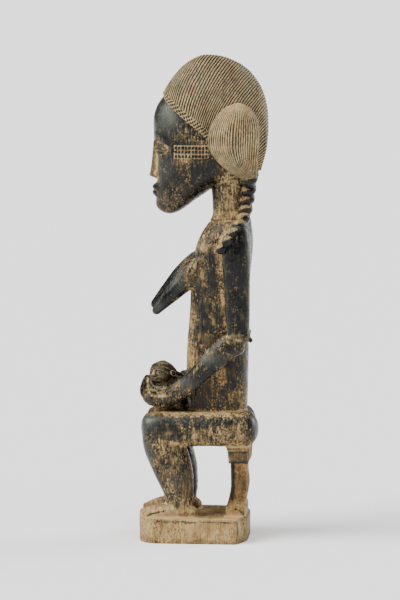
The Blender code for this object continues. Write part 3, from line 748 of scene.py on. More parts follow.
def child_head():
    angle = even_angles(150, 0, 2 * math.pi, *HEAD_SECTION)[:-1]
    points, faces = loft(head_keys(), 110, level=True, relief=child_face, angle=angle, ends=(3, 24))
    points = (points - (0, 8, CHIN)) * CHILD_SIZE
    height = points[:, 2:] / points[:, 2].max()
    points[:, :2] *= CHILD_WIDTH - CHILD_TAPER * np.clip(height, 0, 1) ** 1.8
    for turn, first, second in ((CHILD_TILT, 1, 2), (CHILD_TURN, 0, 1)):
        a, b = points[:, first].copy(), points[:, second].copy()
        points[:, first] = math.cos(turn) * a - math.sin(turn) * b
        points[:, second] = math.sin(turn) * a + math.cos(turn) * b
    points[:, 1] += CHILD_LEAN * (0.38 - height[:, 0])
    values = {"groove": np.zeros(len(points)), "hair": np.zeros(len(points))}
    return as_object("child_head", points + CHILD_CHIN, faces, values)


# The hair's lower edge on her left in (y, z), from the brow to the nape, its x, and the crest above it
HAIRLINE = [
    (-33.0, 459.0),
    (-29.5, 453.5),
    (-19.0, 443.0),
    (-4.0, 430.5),
    (8.0, 421.0),
    (18.0, 411.0),
    (30.0, 398.0),
    (42.0, 386.0),
    (46.0, 377.0),
    (47.0, 373.0),
    (47.0, 371.5),
]
HAIRLINE_WIDTH = (0.0, 13.0, 23.5, 30.0, 32.5, 33.5, 33.0, 30.0, 21.0, 10.0, 0.0)
CREST = [
    (-33.5, 460.0),
    (-15.0, 485.5),
    (5.0, 498.5),
    (26.0, 498.5),
    (44.0, 492.0),
    (58.0, 481.5),
    (68.0, 467.5),
    (74.0, 450.0),
    (76.0, 428.0),
    (74.0, 402.0),
    (68.5, 381.0),
]


def skull_side(y, z):
    """Half the head's width at these heights and depths, before the face is carved."""
    levels = np.array(HEAD_LEVELS)
    front, back, half, square = (np.interp(z, levels[:, 0], levels[:, row]) for row in (1, 2, 3, 4))
    deep = np.clip(np.abs(2 * y - front - back) / (back - front), 0, 1)
    return half * (1 - deep**square) ** (1 / square)


def cut(phase, sharp=0.75):
    """A carved groove's depth from 0 to 1, narrow and deepest at whole phases."""
    return 1 - np.abs(np.sin(math.pi * phase)) ** sharp


def cap_sheet(number):
    """The cap's left half: for each place along the hairline, points from there up to the crest."""
    low, high = spline(HAIRLINE, number), spline(CREST, number)
    width = spline(np.array(HAIRLINE_WIDTH)[:, None], number)[:, 0]
    proud = (skull_side(low[:, 0], low[:, 1]) + BAND_PROUD) * smooth(0, 0.4, number)
    width = np.where(number < 5, np.maximum(width, proud), width)
    width[[0, -1]] = 0
    low = np.column_stack([width, low])
    high = np.column_stack([0 * width, high])
    steps = np.concatenate([np.linspace(0, 0.10, 16), np.linspace(0.10, 1, 34)[1:]])
    rise = np.sin(steps * math.pi / 2)[None, :, None]
    run = high - low
    bow = np.stack([0 * run[:, 0], -run[:, 2], run[:, 1]], axis=1)[:, None] * 0.22
    sheet = low[:, None] + run[:, None] * rise + bow * rise * (1 - rise)
    belly = 3.5 * np.sin(math.pi * np.clip(rise * 1.35, 0, 1))[..., 0]
    sheet[..., 0] = low[:, None, 0] * (1 - rise[..., 0] ** 2.5) ** 0.4
    sheet[..., 0] += belly * (low[:, None, 0] / 33.5)
    return sheet, rise[..., 0]


def cap_grooves(sheet, number):
    """Depth from 0 to 1 of the cuts between strands, and of the rows of pits that edge the hair."""
    columns = len(number) - 1
    phase = np.linspace(0, CAP_STRANDS, columns + 1)[:, None] + 0.16 * noise(sheet, 7.0, 11)
    from_edge = np.linalg.norm(sheet - sheet[:, :1], axis=2)
    # The band ends where the lobes hide the hairline
    band = 1 - smooth(BAND, BAND + 0.8, from_edge + 8.0 * smooth(4.6, 5.2, number[:, None]))
    crossing = (cut(0.62 * phase + way * from_edge / PITS, 0.9) for way in (1, -1))
    rails = np.maximum(bell(from_edge - 0.8, 1.0), bell(from_edge - BAND - 0.2, 0.8))
    pits = 1 - np.maximum(smooth(0.15, 0.6, np.maximum(*crossing)), rails)
    groove = band * pits + (1 - band) * cut(phase, 0.6)
    return groove * np.clip(4 * np.sin(np.linspace(0, math.pi, columns + 1)), 0, 1)[:, None]


def coiffure_cap():
    number = np.linspace(0, len(HAIRLINE) - 1, CAP_STRANDS * PER_STRAND + 1)
    sheet, rise = cap_sheet(number)
    normal = np.cross(np.gradient(sheet, axis=0), np.gradient(sheet, axis=1))
    normal /= np.maximum(np.linalg.norm(normal, axis=2), 1e-6)[..., None]
    normal *= np.sign((normal * (sheet - (0.0, 22.0, 430.0))).sum(axis=2))[..., None]
    groove = cap_grooves(sheet, number)
    wear = 0.8 + 0.3 * noise(sheet, 16.0, 12)
    depth = (CAP_GROOVE * groove * wear - 0.25 * noise(sheet, 9.0, 13)) * np.clip(rise * 12, 0, 1)
    sheet = sheet - normal * depth[..., None]
    sheet[[0, -1], :, 0] = 0
    sheet[:, -1, 0] = 0
    rings = np.concatenate([sheet, (sheet * (-1, 1, 1))[:, -2::-1]], axis=1)
    groove = np.concatenate([groove, groove[:, -2::-1]], axis=1)
    return closed_sheet("coiffure_cap", rings, {"groove": groove, "hair": np.ones(groove.shape)})


def closed_sheet(name, rings, values):
    """Joins rings of points into a tube whose first and last rings are flat in X."""
    count = rings.shape[1]
    faces = []
    for ring in range(len(rings) - 1):
        for row in range(count):
            after = (row + 1) % count
            here, there = ring * count, (ring + 1) * count
            faces.append((here + row, there + row, there + after, here + after))
    obj = as_object(name, rings.reshape(-1, 3), faces, values)
    weld = obj.modifiers.new("weld", "WELD")
    weld.merge_threshold = WELD * MM
    applied(obj)
    return obj


def lobe(name, sign, hug):
    body = [
        (31.0, 47.0, 451.5, 6.0, 8.0, 2.0),
        (34.0, 45.8, 444.5, 9.5, 15.5, 2.2),
        (36.5, 44.8, 434.0, 12.5, 22.5, 2.3),
        (37.5, 43.2, 420.0, 14.0, 26.2, 2.3),
        (37.5, 43.4, 405.0, 14.0, 25.4, 2.3),
        (36.5, 46.5, 392.5, 12.5, 20.6, 2.2),
        (33.5, 52.0, 382.0, 10.5, 14.6, 2.1),
        (29.0, 57.5, 374.5, 8.0, 8.6, 2.0),
    ]
    keys = [(sign * x, y - hug * max(0, (420 - z) / 45), z, *rest) for x, y, z, *rest in body]
    grooves = []
    # The strands lie closer together where the lobe turns away, so that they look even from the side
    turn = np.linspace(0, 2 * math.pi, 2000)
    spread = turn / (2 * math.pi) + LOBE_EVEN * np.sin(2 * turn)
    angles = np.interp(np.linspace(0, 1, LOBE_STRANDS * PER_STRAND, endpoint=False), spread, turn)

    def flutes(rim, centre, angle, share):
        phase = LOBE_STRANDS * np.interp(angle, turn, spread) + 0.14 * noise(rim, 9.0, 21)
        wear = 0.75 + 0.35 * noise(rim, 7.0, 23)
        depth = cut(phase, 0.55) * np.clip(7 * share, 0, 1) * wear
        grooves.append(depth)
        out = rim - centre
        size = np.maximum(np.linalg.norm(out, axis=-1, keepdims=True), 1e-6)
        return rim - out / size * (LOBE_GROOVE * depth - 0.25 * noise(rim, 8.0, 22))[..., None]

    points, faces = loft(keys, 42, ends=(7, 0), level=True, relief=flutes, angle=angles)
    values = {"groove": grooves[0], "hair": np.full(len(points), 1.0)}
    return as_object(name, points, faces, values)


def braid(name, sign, hug):
    """A braid of rounded, slanting beads from the lobe's tie down the neck and over the shoulder."""
    route = [
        (27.5, 58.5, 376.0, 6.8),
        (21.5, 57.6, 366.5, 7.4),
        (18.5, 56.4, 356.5, 7.4),
        (18.5, 54.4, 346.5, 7.2),
        (22.0, 52.8, 337.0, 7.0),
        (31.5, 49.2, 328.6, 6.6),
        (39.5, 44.0, 321.0, 6.4),
        (43.5, 38.4, 313.0, 6.0),
        (44.2, 32.4, 305.5, 5.4),
        (43.0, 27.4, 299.0, 4.4),
    ]
    keys = [(sign * x, y - hug, z, radius, radius, 2.0) for x, y, z, radius in route]
    grooves = []

    def beads(rim, centre, angle, share):
        slant = 0.16 * np.sin(angle) * np.clip(4 * share, 0, 1) * np.clip(4 - 4 * share, 0, 1)
        phase = BEADS * share - slant
        swell = 0.60 + 0.43 * np.abs(np.sin(math.pi * phase)) ** 0.6
        grooves.append(1 - np.abs(np.sin(math.pi * phase)) ** 0.8 + 0 * rim[..., 0])
        return centre + (rim - centre) * swell[..., None]

    points, faces = loft(keys, BEADS * 10 + 1, 26, ends=(2, 3), relief=beads)
    values = {"groove": grooves[0], "hair": np.full(len(points), 0.5)}
    return as_object(name, points, faces, values)


def tie(name, sign, hug):
    keys = [
        (29.5 * sign, 57.5 - hug, 377.4, 7.0, 7.6, 2.0),
        (29.0 * sign, 57.8 - hug, 375.6, 8.3, 8.9, 2.0),
        (28.0 * sign, 58.2 - hug, 372.8, 8.3, 8.9, 2.0),
        (27.0 * sign, 58.5 - hug, 371.0, 7.0, 7.4, 2.0),
    ]
    points, faces = loft(keys, 10, 30)
    values = {"groove": np.zeros(len(points)), "hair": np.full(len(points), 0.5)}
    return as_object(name, points, faces, values)


def joined(name, base, others):
    """A Boolean union of closed meshes; points made where they cross take their neighbours' values."""
    for obj in (base, *others):
        store(obj.data, "known", np.ones(len(obj.data.vertices)))
    for other in others:
        union = base.modifiers.new("join", "BOOLEAN")
        union.operation = "UNION"
        union.object = other
        union.solver = "MANIFOLD"
        applied(base)
        bpy.data.objects.remove(other)
    mesh = base.data
    edges = edges_of(mesh)
    known = stored(mesh, "known")
    for label in ("groove", "hair"):
        numbers, sure = stored(mesh, label), known.copy()
        for _ in range(3):
            weight = neighbour_sum(edges, sure)
            total = neighbour_sum(edges, numbers * sure)
            lost = (sure < 0.5) & (weight > 0)
            numbers[lost] = total[lost] / weight[lost]
            sure[lost] = 1
        store(mesh, label, numbers)
    set_points(mesh, grid_points(mesh))
    base.name = name
    return base


def carved_head():
    parts = [coiffure_cap()]
    for side, (sign, *_, hug) in (("left", LEFT), ("right", RIGHT)):
        parts += [
            lobe(f"lobe_{side}", sign, hug),
            tie(f"tie_{side}", sign, hug),
            braid(f"braid_{side}", sign, hug),
        ]
    return joined("carved_head", head(), parts)


# Weathering: where the dark patina holds and where dust and bare wood show, and where painted sheen,
# highlights and shade stand in for light


# Each patch: its name, place, reach, share of dust from 0 to 1, and how orange its dust is; those marked
# painted shade are darker for the shade that falls there
PATCHES = [
    ("forehead", (24, -30, 440), (22, 14, 18), 0.06, 0.1),
    ("temple", (31, -4, 420), (8, 13, 7), 0.42, 0.3),
    ("temple, dark spot", (32, 1, 425), (6, 5, 5), 0.15, 0.3),
    ("eyelids", (14, -38, 404), (9, 9, 8), 0.52, 0.3),
    ("nose", (4, -42, 388), (6, 7, 16), 0.66, 0.35),
    ("below the temple scars", (30, -6, 391), (8, 14, 3.5), 0.58, 0.3),
    ("front cheek", (24, -24, 380), (14, 9, 14), 0.14, 0.2),
    ("middle cheek", (27, -10, 372), (12, 6, 12), 0.30, 0.4),
    ("back cheek", (30, 6, 384), (10, 10, 8), 0.12, 0.2),
    ("jaw", (24, 4, 366), (14, 14, 6), 0.22, 0.7),
    ("lips", (6, -42, 361), (8, 6, 6), 0.12, 0.2),
    ("chin", (14, -26, 350), (14, 14, 8), 0.34, 0.3),
    ("neck", (16, 32, 356), (14, 14, 16), 0.68, 0.4),
    ("throat", (6, 20, 356), (12, 6, 16), 0.30, 0.4),
    ("nape", (0, 56, 352), (16, 8, 14), 0.45, 0.4),
    ("collar", (20, 28, 334), (16, 16, 4), 0.80, 0.8),
    ("upper chest", (26, 20, 319), (12, 11, 9), 0.50, 0.45),
    ("chest middle", (0, 6, 312), (12, 12, 18), 0.50, 0.5),
    ("shoulder crease", (32, 36, 320), (6, 6, 12), 0.75, 0.7),
    ("breast root", (24, 14, 303), (9, 8, 7), 0.68, 0.4),
    ("breast, worn patch", (24, -4, 284), (9, 7, 5), 0.66, 0.4),
    ("breast, small worn patch", (22, -13, 269), (6, 5, 4), 0.40, 0.4),
    ("breast", (16, -20, 257), (14, 16, 16), 0.12, 0.2),
    ("breast, top", (14, 4, 292), (8, 12, 8), 0.22, 0.2),
    ("breast, tip", (15, -38, 238), (9, 8, 8), 0.06, 0.2),
    ("shoulder blade", (14, 62, 300), (24, 8, 30), 0.14, 0.2),
    ("upper arm", (48, 42, 286), (10, 12, 26), 0.11, 0.1),
    ("upper arm, low", (48, 44, 238), (10, 9, 20), 0.16, 0.2),
    ("upper arm, behind", (44, 56, 245), (10, 6, 30), 0.20, 0.3),
    ("upper arm, front edge", (37, 31, 270), (6, 3.5, 34), 0.62, 0.45),
    ("armpit", (27, 26, 282), (8, 7, 13), 0.12, 0.6),
    ("side", (26, 14, 250), (8, 13, 26), 0.33, 0.45),
    ("side, low", (26, 12, 214), (8, 12, 16), 0.32, 0.5),
    ("belly edge", (14, -4, 244), (13, 6, 34), 0.68, 0.5),
    ("belly edge, low", (14, -6, 190), (13, 6, 16), 0.78, 0.7),
    ("back", (10, 58, 240), (22, 6, 34), 0.30, 0.35),
    ("armband", (44, 48, 213), (9, 12, 3), 0.60, 0.5),
    ("armband, knot", (40, 62, 210), (7, 4, 4), 0.05, 0.2),
    ("below the armband", (44, 58, 200), (8, 5, 8), 0.55, 0.4),
    ("forearm, top", (36, 22, 204), (9, 14, 7), 0.46, 0.1),
    ("forearm", (40, 10, 177), (10, 16, 12), 0.18, 0.2),
    ("elbow", (44, 42, 203), (8, 10, 8), 0.22, 0.2),
    ("wrist", (34, -12, 156), (8, 8, 7), 0.40, 0.4),
    ("hand", (22, -30, 145), (14, 11, 6), 0.42, 0.4),
    ("fingers", (8, -50, 152), (12, 5, 8), 0.44, 0.4),
    ("far fingers", (0, -56, 158), (14, 4, 9), 0.12, 0.3),
    ("loins, tan", (26, 30, 172), (6, 9, 9), 0.64, 0.8),
    ("loins", (27, 44, 172), (6, 9, 14), 0.30, 0.4),
    ("loins, low", (27, 42, 148), (6, 12, 10), 0.42, 0.6),
    ("small of the back", (10, 56, 170), (20, 5, 24), 0.30, 0.5),
    ("behind, low", (22, 54, 150), (10, 5, 12), 0.62, 0.6),
    # Painted shade: darker under the forearm, where its shade falls
    ("below the forearm, painted shade", (24, 8, 142), (8, 14, 8), 0.34, 1.0),
    ("lap", (20, -34, 134), (18, 16, 4), 0.78, 1.0),
    ("lap line", (38, 14, 133.5), (8, 44, 3), 0.74, 0.6),
    ("knee, front", (32, -50, 122), (16, 8, 8), 0.08, 0.1),
    ("knee", (42, -34, 122), (8, 14, 7), 0.20, 0.2),
    ("thigh, high", (44, 14, 126), (8, 34, 4), 0.24, 0.3),
    ("thigh, low", (44, 24, 112), (8, 30, 8), 0.58, 0.4),
    ("thigh, low front", (44, -16, 112), (8, 14, 7), 0.38, 0.4),
    ("thigh, underside", (34, 20, 99), (14, 36, 4), 0.55, 0.6),
    ("buttock", (26, 66, 118), (16, 8, 12), 0.14, 0.3),
    ("buttock, low", (36, 56, 106), (10, 10, 7), 0.70, 0.7),
    ("back of the knee", (40, -22, 100), (8, 10, 5), 0.68, 0.6),
    ("shin, front", (28, -52, 92), (16, 8, 28), 0.14, 0.2),
    ("shin", (38, -34, 78), (8, 10, 18), 0.42, 0.5),
    ("calf", (38, -14, 78), (8, 9, 20), 0.46, 0.5),
    ("calf, low", (36, -18, 52), (8, 12, 9), 0.50, 0.3),
    ("calf, inner", (8, -16, 70), (8, 18, 30), 0.22, 0.4),
    ("ankle", (36, -14, 40), (8, 10, 5), 0.62, 0.3),
    ("foot", (32, -16, 31), (16, 18, 4), 0.92, 0.8),
    ("toes", (28, -48, 28), (20, 10, 4), 0.92, 0.8),
    ("plinth", (48, 0, 12), (20, 60, 9), 0.88, 0.9),
    ("plinth, chamfer", (34, 53, 12), (10, 3.5, 12), 0.66, 0.2),
    ("plinth, behind", (20, 58, 12), (30, 8, 10), 0.68, 0.3),
    ("plinth, top behind", (18, 18, 26), (26, 10, 3), 0.70, 0.9),
    ("plinth, top at the side", (44, 10, 25.5), (5, 30, 3), 0.94, 0.5),
    ("stool, top", (28, 47, 99), (12, 14, 3), 0.80, 0.9),
    ("stool, cap", (30, 46, 88), (12, 14, 7), 0.54, 0.6),
    ("stool, post", (17, 46, 62), (10, 12, 16), 0.70, 1),
    # Painted shade: the post's front face is darker for the shadow on it
    ("stool, post front, painted shade", (8, 38, 62), (10, 4, 18), 0.50, 0.8),
    ("stool, foot", (28, 44, 32), (10, 14, 5), 0.84, 1.0),
    ("child, head", (13, -34, 174), (8, 12, 11), 0.26, 0.3),
    ("child, body", (6, -26, 156), (12, 20, 8), 0.42, 0.5),
    ("child, knees", (6, -11, 172), (12, 7, 7), 0.18, 0.3),
]


# Hair values below this are bare wood, and on the child's head ridges hold this much dust
BARE = 0.1
CHILD_RIDGES = 4.0

# Painted sheen: where the dark patina is painted a cool grey that stands in for the lamps' sheen on it:
# name, place, reach, share
PAINTED_SHEEN = [
    ("forehead", (25, -26, 438), (14, 14, 14), 0.80),
    ("front cheek", (24, -28, 384), (10, 8, 12), 0.20),
    ("breast, upper side", (20, -16, 268), (8, 18, 9), 0.35),
    ("breast, tip", (18, -36, 240), (8, 8, 8), 0.30),
    ("shoulder, behind", (38, 60, 308), (16, 5, 26), 0.50),
    ("forearm, top", (42, 16, 193), (9, 16, 8), 0.60),
    ("wrist", (36, -8, 166), (9, 12, 7), 0.40),
    ("knee", (38, -46, 126), (14, 10, 8), 0.50),
    ("thigh", (44, 0, 126), (9, 50, 5), 0.25),
    ("buttock", (36, 68, 122), (16, 7, 14), 0.25),
    ("shin", (34, -46, 86), (12, 9, 24), 0.40),
    ("calf", (40, -20, 62), (8, 12, 16), 0.25),
]


def folded_over(points):
    """The points with those on her right side mirrored to her left."""
    return np.column_stack([np.abs(points[:, 0]), points[:, 1:]])


# Painted sheen: how strongly the dark patina is painted grey in place of the lamps' sheen, from 0 to 1
def painted_sheen(points):
    folded = folded_over(points)
    total = 0.0
    for _, place, reach, share in PAINTED_SHEEN:
        total = total + share * np.exp(-(((folded - place) / reach) ** 2).sum(axis=1))
    return np.clip(total * (0.85 + 0.3 * noise(points, 7.0, 61)), 0, 1)


def patchwork(points):
    """The shares of dust and of orange at each point, blended from the patches around it."""
    folded = folded_over(points)
    total = np.zeros((len(points), 2))
    weight = np.zeros((len(points), 1))
    for _, place, reach, dust, warm in PATCHES:
        distance = (((folded - place) / reach) ** 2).sum(axis=1, keepdims=True)
        near = np.exp(-0.9 * distance) + 1e-7 / (1 + distance**2)
        total += near * (dust, warm)
        weight += near
    return (total / weight).T


# Thin worn or dusty lines on both sides of the body, with one painted highlight and one painted shade among
# them: name, route in (y, z), width, least |x|, dust
STREAKS = [
    ("arm, front edge", [(25.5, 299), (27.5, 284), (30, 262), (31.6, 240), (33.6, 221)], 2.8, 19, 0.86),
    ("shoulder crease", [(40, 324), (33, 317), (27, 308), (23, 301)], 1.3, 22, 0.95),
    ("collar", [(20, 335), (32, 333.5), (47, 331)], 1.6, 10, 0.85),
    ("lap line", [(-30, 133.5), (0, 133.8), (30, 133.8), (52, 132.5)], 1.2, 26, 0.92),
    ("breast, far side of its ridge", [(-1, 297), (-14, 279), (-30, 255), (-39, 241)], 0.9, 8, 0.34),
    # Partly wear, partly a painted highlight: the forearm's top is lightened where the lamps' highlight
    # falls
    ("forearm, worn top and painted highlight", [(38, 208), (27, 201), (14, 189), (3, 178)], 2.6, 28, 0.56),
    ("forearm, lower edge", [(50, 196), (38, 187), (24, 176), (12, 164)], 1.0, 26, 0.66),
    ("armband, top", [(36, 214), (44, 212.5), (54, 210)], 1.3, 36, 0.85),
    ("stool cap, top edge", [(33, 99.5), (60, 98.5)], 1.5, 20, 1.0),
    ("stool cap, front edge", [(36.8, 96), (38.3, 82)], 0.8, 24, 0.9),
    ("stool cap, back edge", [(57.6, 96), (56.4, 82)], 0.8, 24, 0.85),
    ("stool cap, below its plate", [(35, 95.0), (59, 95.0)], 0.9, 24, 0.95),
    ("stool foot, front edge", [(33.5, 38), (33.5, 26)], 1.3, 20, 1.0),
    ("plinth, top edge", [(-46, 25.0), (0, 25.0), (47, 25.0)], 1.1, 42, 1.0),
    ("below the knee", [(-32, 106), (-20, 102.5), (-6, 102)], 1.8, 30, 0.85),
    ("near hand, rim", [(-22, 152), (-34, 150), (-42, 150), (-47.5, 156), (-48, 166)], 1.3, 0, 0.85),
    # Painted shade: a dark line where the thigh turns under above the stool, where its shade falls
    ("thigh, underside edge, painted shade", [(-4, 99.5), (20, 98.8), (34, 98.6)], 1.2, 34, 0.15),
]

# Drying cracks and cuts on both sides, and one painted shade down the stool post's front: name, route in (y,
# z), width, least |x|, loss of dust
CRACKS = [
    ("below the plinth's top edge", [(-36, 23.2), (-10, 22.9), (20, 23.1), (46, 23.0)], 0.6, 44, 0.6),
    ("plinth, back corner", [(47.0, 24), (47.6, 12), (47.0, 3)], 0.45, 28, 0.45),
    ("stool cap, under its edge", [(37.5, 93.2), (57, 93.2)], 0.6, 24, 0.5),
    ("stool cap, foot", [(39, 82.5), (56, 82.5)], 0.8, 20, 0.4),
    # Painted shade: darkens the post's front edge, which stands in shadow
    ("stool's post, painted shade on its front", [(41.2, 80), (40.8, 60), (40.2, 42)], 1.7, 8, 0.35),
    ("over the toes", [(-46, 27.0), (-40, 29.6), (-33, 31.2), (-28, 32.5)], 0.6, 22, 0.8),
    ("beside the stool's foot", [(31.8, 42), (31.8, 28)], 0.7, 18, 0.5),
    ("stool's foot, curved cut", [(44, 34), (50, 32), (52.5, 28)], 0.6, 20, 0.5),
    ("behind the elbow", [(40.0, 203.5), (41.5, 201.5)], 1.0, 40, 0.8),
    ("loins, vertical check", [(36, 178), (37, 160), (36, 147)], 0.4, 20, 0.25),
]


def along_line(points, route, width, least):
    """1 on a line drawn on the side of the body, falling to 0 at its width, a little uneven."""
    side = points[:, 1:] + 0.5 * noise(points, 5.0, 51)[:, None]
    nearest = np.full(len(points), 1e9)
    for start, end in zip(np.array(route[:-1], float), np.array(route[1:], float)):
        step = end - start
        share = np.clip(((side - start) @ step) / (step @ step), 0, 1)
        nearest = np.minimum(nearest, np.linalg.norm(side - start - share[:, None] * step, axis=1))
    return bell(nearest, 1.6 * width) * (np.abs(points[:, 0]) > least)


def hollows(mesh, points, normal):
    """How far each point lies below its surroundings, in grid units: negative on ridges."""
    edges = edges_of(mesh)
    around = np.column_stack([averaged(edges, points[:, axis], 6) for axis in range(3)])
    return ((around - points) * normal).sum(axis=1)


def hair_dust(points, groove):
    """Dust on the strands, a little more on the lobes; the grooves stay dark."""
    lobes = bell(np.abs(points[:, 0]) - 46, 12) * bell(points[:, 1] - 44, 40)
    strands = 0.87 + 0.07 * lobes + 0.10 * noise(points, 18.0, 41)
    return strands - (1.55 - 0.15 * lobes) * groove


def bead_dust_and_highlight(points, normal, groove):
    """Dust on the braids' beads, with a painted highlight: lighter where they face up and forwards, towards
    the key light.
    """
    # Painted highlight: the share of each bead that faces the key light, up and forwards
    facing_light = 0.9 * normal[:, 2] - 0.3 * normal[:, 1] + 0.12 * noise(points, 4.0, 42)
    return 0.10 + 0.66 * smooth(0.0, 0.45, facing_light) - 0.1 * groove


def calmness(points, combed, braided, child):
    """How even the wear is: evenest on hair, feet, plinth, stool, trunk and faces."""
    low = 1 - smooth(30, 38, points[:, 2])
    stool_wood = smooth(28, 34, points[:, 1]) * (1 - smooth(97, 100, points[:, 2]))
    trunk = bell(points[:, 2] - 215, 95) * bell(points[:, 0], 40)
    calm = np.maximum.reduce([0.6 * combed + 0.5 * braided, 0.45 * low, 0.6 * stool_wood, 0.3 * trunk])
    features = bell(points[:, 0], 30) * bell(points[:, 1] + 42, 24) * bell(points[:, 2] - 388, 40)
    return calm + 0.5 * features + 0.35 * child


def weather(obj):
    """Stores dust, warm, calm and the painted sheen at the points of a piece."""
    mesh, child = obj.data, obj.name == "child_head"
    points, normal = grid_points(mesh), normals(mesh)
    hair, groove = stored(mesh, "hair"), stored(mesh, "groove")
    bare = hair < BARE
    dust, warm = patchwork(points)
    for _, route, width, least, value in STREAKS:
        line = along_line(points, route, width, least) * bare
        dust = dust + line * (value - dust) * (0.8 + 0.3 * noise(points, 4.0, 52))
    hollow = hollows(mesh, points, normal)
    held = np.clip(-CHILD_RIDGES * hollow, -0.2, 0.6) if child else np.clip(0.9 * hollow, -0.15, 0.35)
    dust = dust + held * (1 - hair)
    for _, route, width, least, loss in CRACKS:
        dust = dust - loss * along_line(points, route, width, least) * bare
    combed = smooth(0.5, 0.9, hair)
    braided = smooth(0.25, 0.5, hair) * (1 - smooth(0.5, 0.75, hair))
    change = combed * (hair_dust(points, groove) - dust)
    change += braided * (bead_dust_and_highlight(points, normal, groove) - dust)
    dust = dust + change
    warm = warm + combed * (0.12 + 0.2 * noise(points, 12.0, 43) - warm)
    tiles, field = scar_cells(points[:, 1], points[:, 2])
    face_side = field * bare * (np.abs(points[:, 0]) > 18)
    dust = dust + face_side * (0.05 + 0.9 * tiles - dust)
    store(mesh, "dust", dust)
    store(mesh, "warm", warm)
    store(mesh, "calm", calmness(points, combed, braided, child))
    store(mesh, "painted_sheen", painted_sheen(points) * bare)


class Shading:
    """Short forms for the nodes that the wood is built from."""

    def __init__(self, material):
        material.use_nodes = True
        self.tree = material.node_tree
        self.place = self.node("ShaderNodeTexCoord").outputs["Object"]

    def node(self, kind, *values, **settings):
        made = self.tree.nodes.new(kind)
        for name, value in settings.items():
            setattr(made, name, value)
        for slot, value in enumerate(values):
            self.put(made.inputs[slot], value)
        return made

    def put(self, socket, value):
        if isinstance(value, bpy.types.NodeSocket):
            self.tree.links.new(value, socket)
        elif value is not None:
            socket.default_value = value

    def attribute(self, name):
        return self.node("ShaderNodeAttribute", attribute_name=name).outputs["Fac"]

    def math(self, operation, *values):
        return self.node("ShaderNodeMath", *values, operation=operation).outputs[0]

    def noise(self, size, detail=3.0, stretch=1.0, seed=0.0):
        """Noise of this size in grid units, drawn out along Z by stretch."""
        scaled = self.node("ShaderNodeMapping", self.place)
        scaled.inputs["Scale"].default_value = (1, 1, 1 / stretch)
        scaled.inputs["Location"].default_value = (seed, 0.37 * seed, 0.71 * seed)
        made = self.node("ShaderNodeTexNoise", scaled.outputs[0])
        made.inputs["Scale"].default_value = 1 / (size * MM)
        made.inputs["Detail"].default_value = detail
        return made.outputs["Fac"]

    def swing(self, noise_value, amount):
        """Noise turned into a change of plus or minus about amount."""
        return self.math("MULTIPLY", self.math("SUBTRACT", noise_value, 0.5), amount * 5)

    def total(self, *values):
        summed = values[0]
        for value in values[1:]:
            summed = self.math("ADD", summed, value)
        return summed

    def ramp(self, value, stops):
        made = self.node("ShaderNodeValToRGB", value)
        steps = made.color_ramp.elements
        while len(steps) < len(stops):
            steps.new(0.5)
        for step, (at, colour) in zip(steps, stops):
            step.position = at
            step.color = colour_of(colour)
        return made.outputs["Color"]

    def mix(self, share, low, high, blend="MIX"):
        made = self.node("ShaderNodeMix", data_type="RGBA", blend_type=blend)
        self.put(made.inputs["Factor"], share)
        self.put(made.inputs[6], low if isinstance(low, bpy.types.NodeSocket) else colour_of(low))
        self.put(made.inputs[7], high if isinstance(high, bpy.types.NodeSocket) else colour_of(high))
        return made.outputs[2]


def colour_of(code):
    """A linear colour from an sRGB hex code."""
    parts = [int(code[at : at + 2], 16) / 255 for at in (1, 3, 5)]
    return (*(((part + 0.055) / 1.055) ** 2.4 if part > 0.04 else part / 12.92 for part in parts), 1)


# The wood's colours from no dust to full dust, what orange and tinted places are multiplied by, and the grey
# of the painted sheen
WOOD = [
    (0.00, "#060708"),
    (0.14, "#131310"),
    (0.28, "#29271f"),
    (0.44, "#463e2d"),
    (0.60, "#66593f"),
    (0.80, "#8f7e5c"),
    (1.00, "#ab9c79"),
]
ORANGE = "#ffd6a4"
TINTS = [(0.35, "#e8f2e4"), (0.65, "#ffe8dc")]
SHEEN_GREY = "#5c5f59"


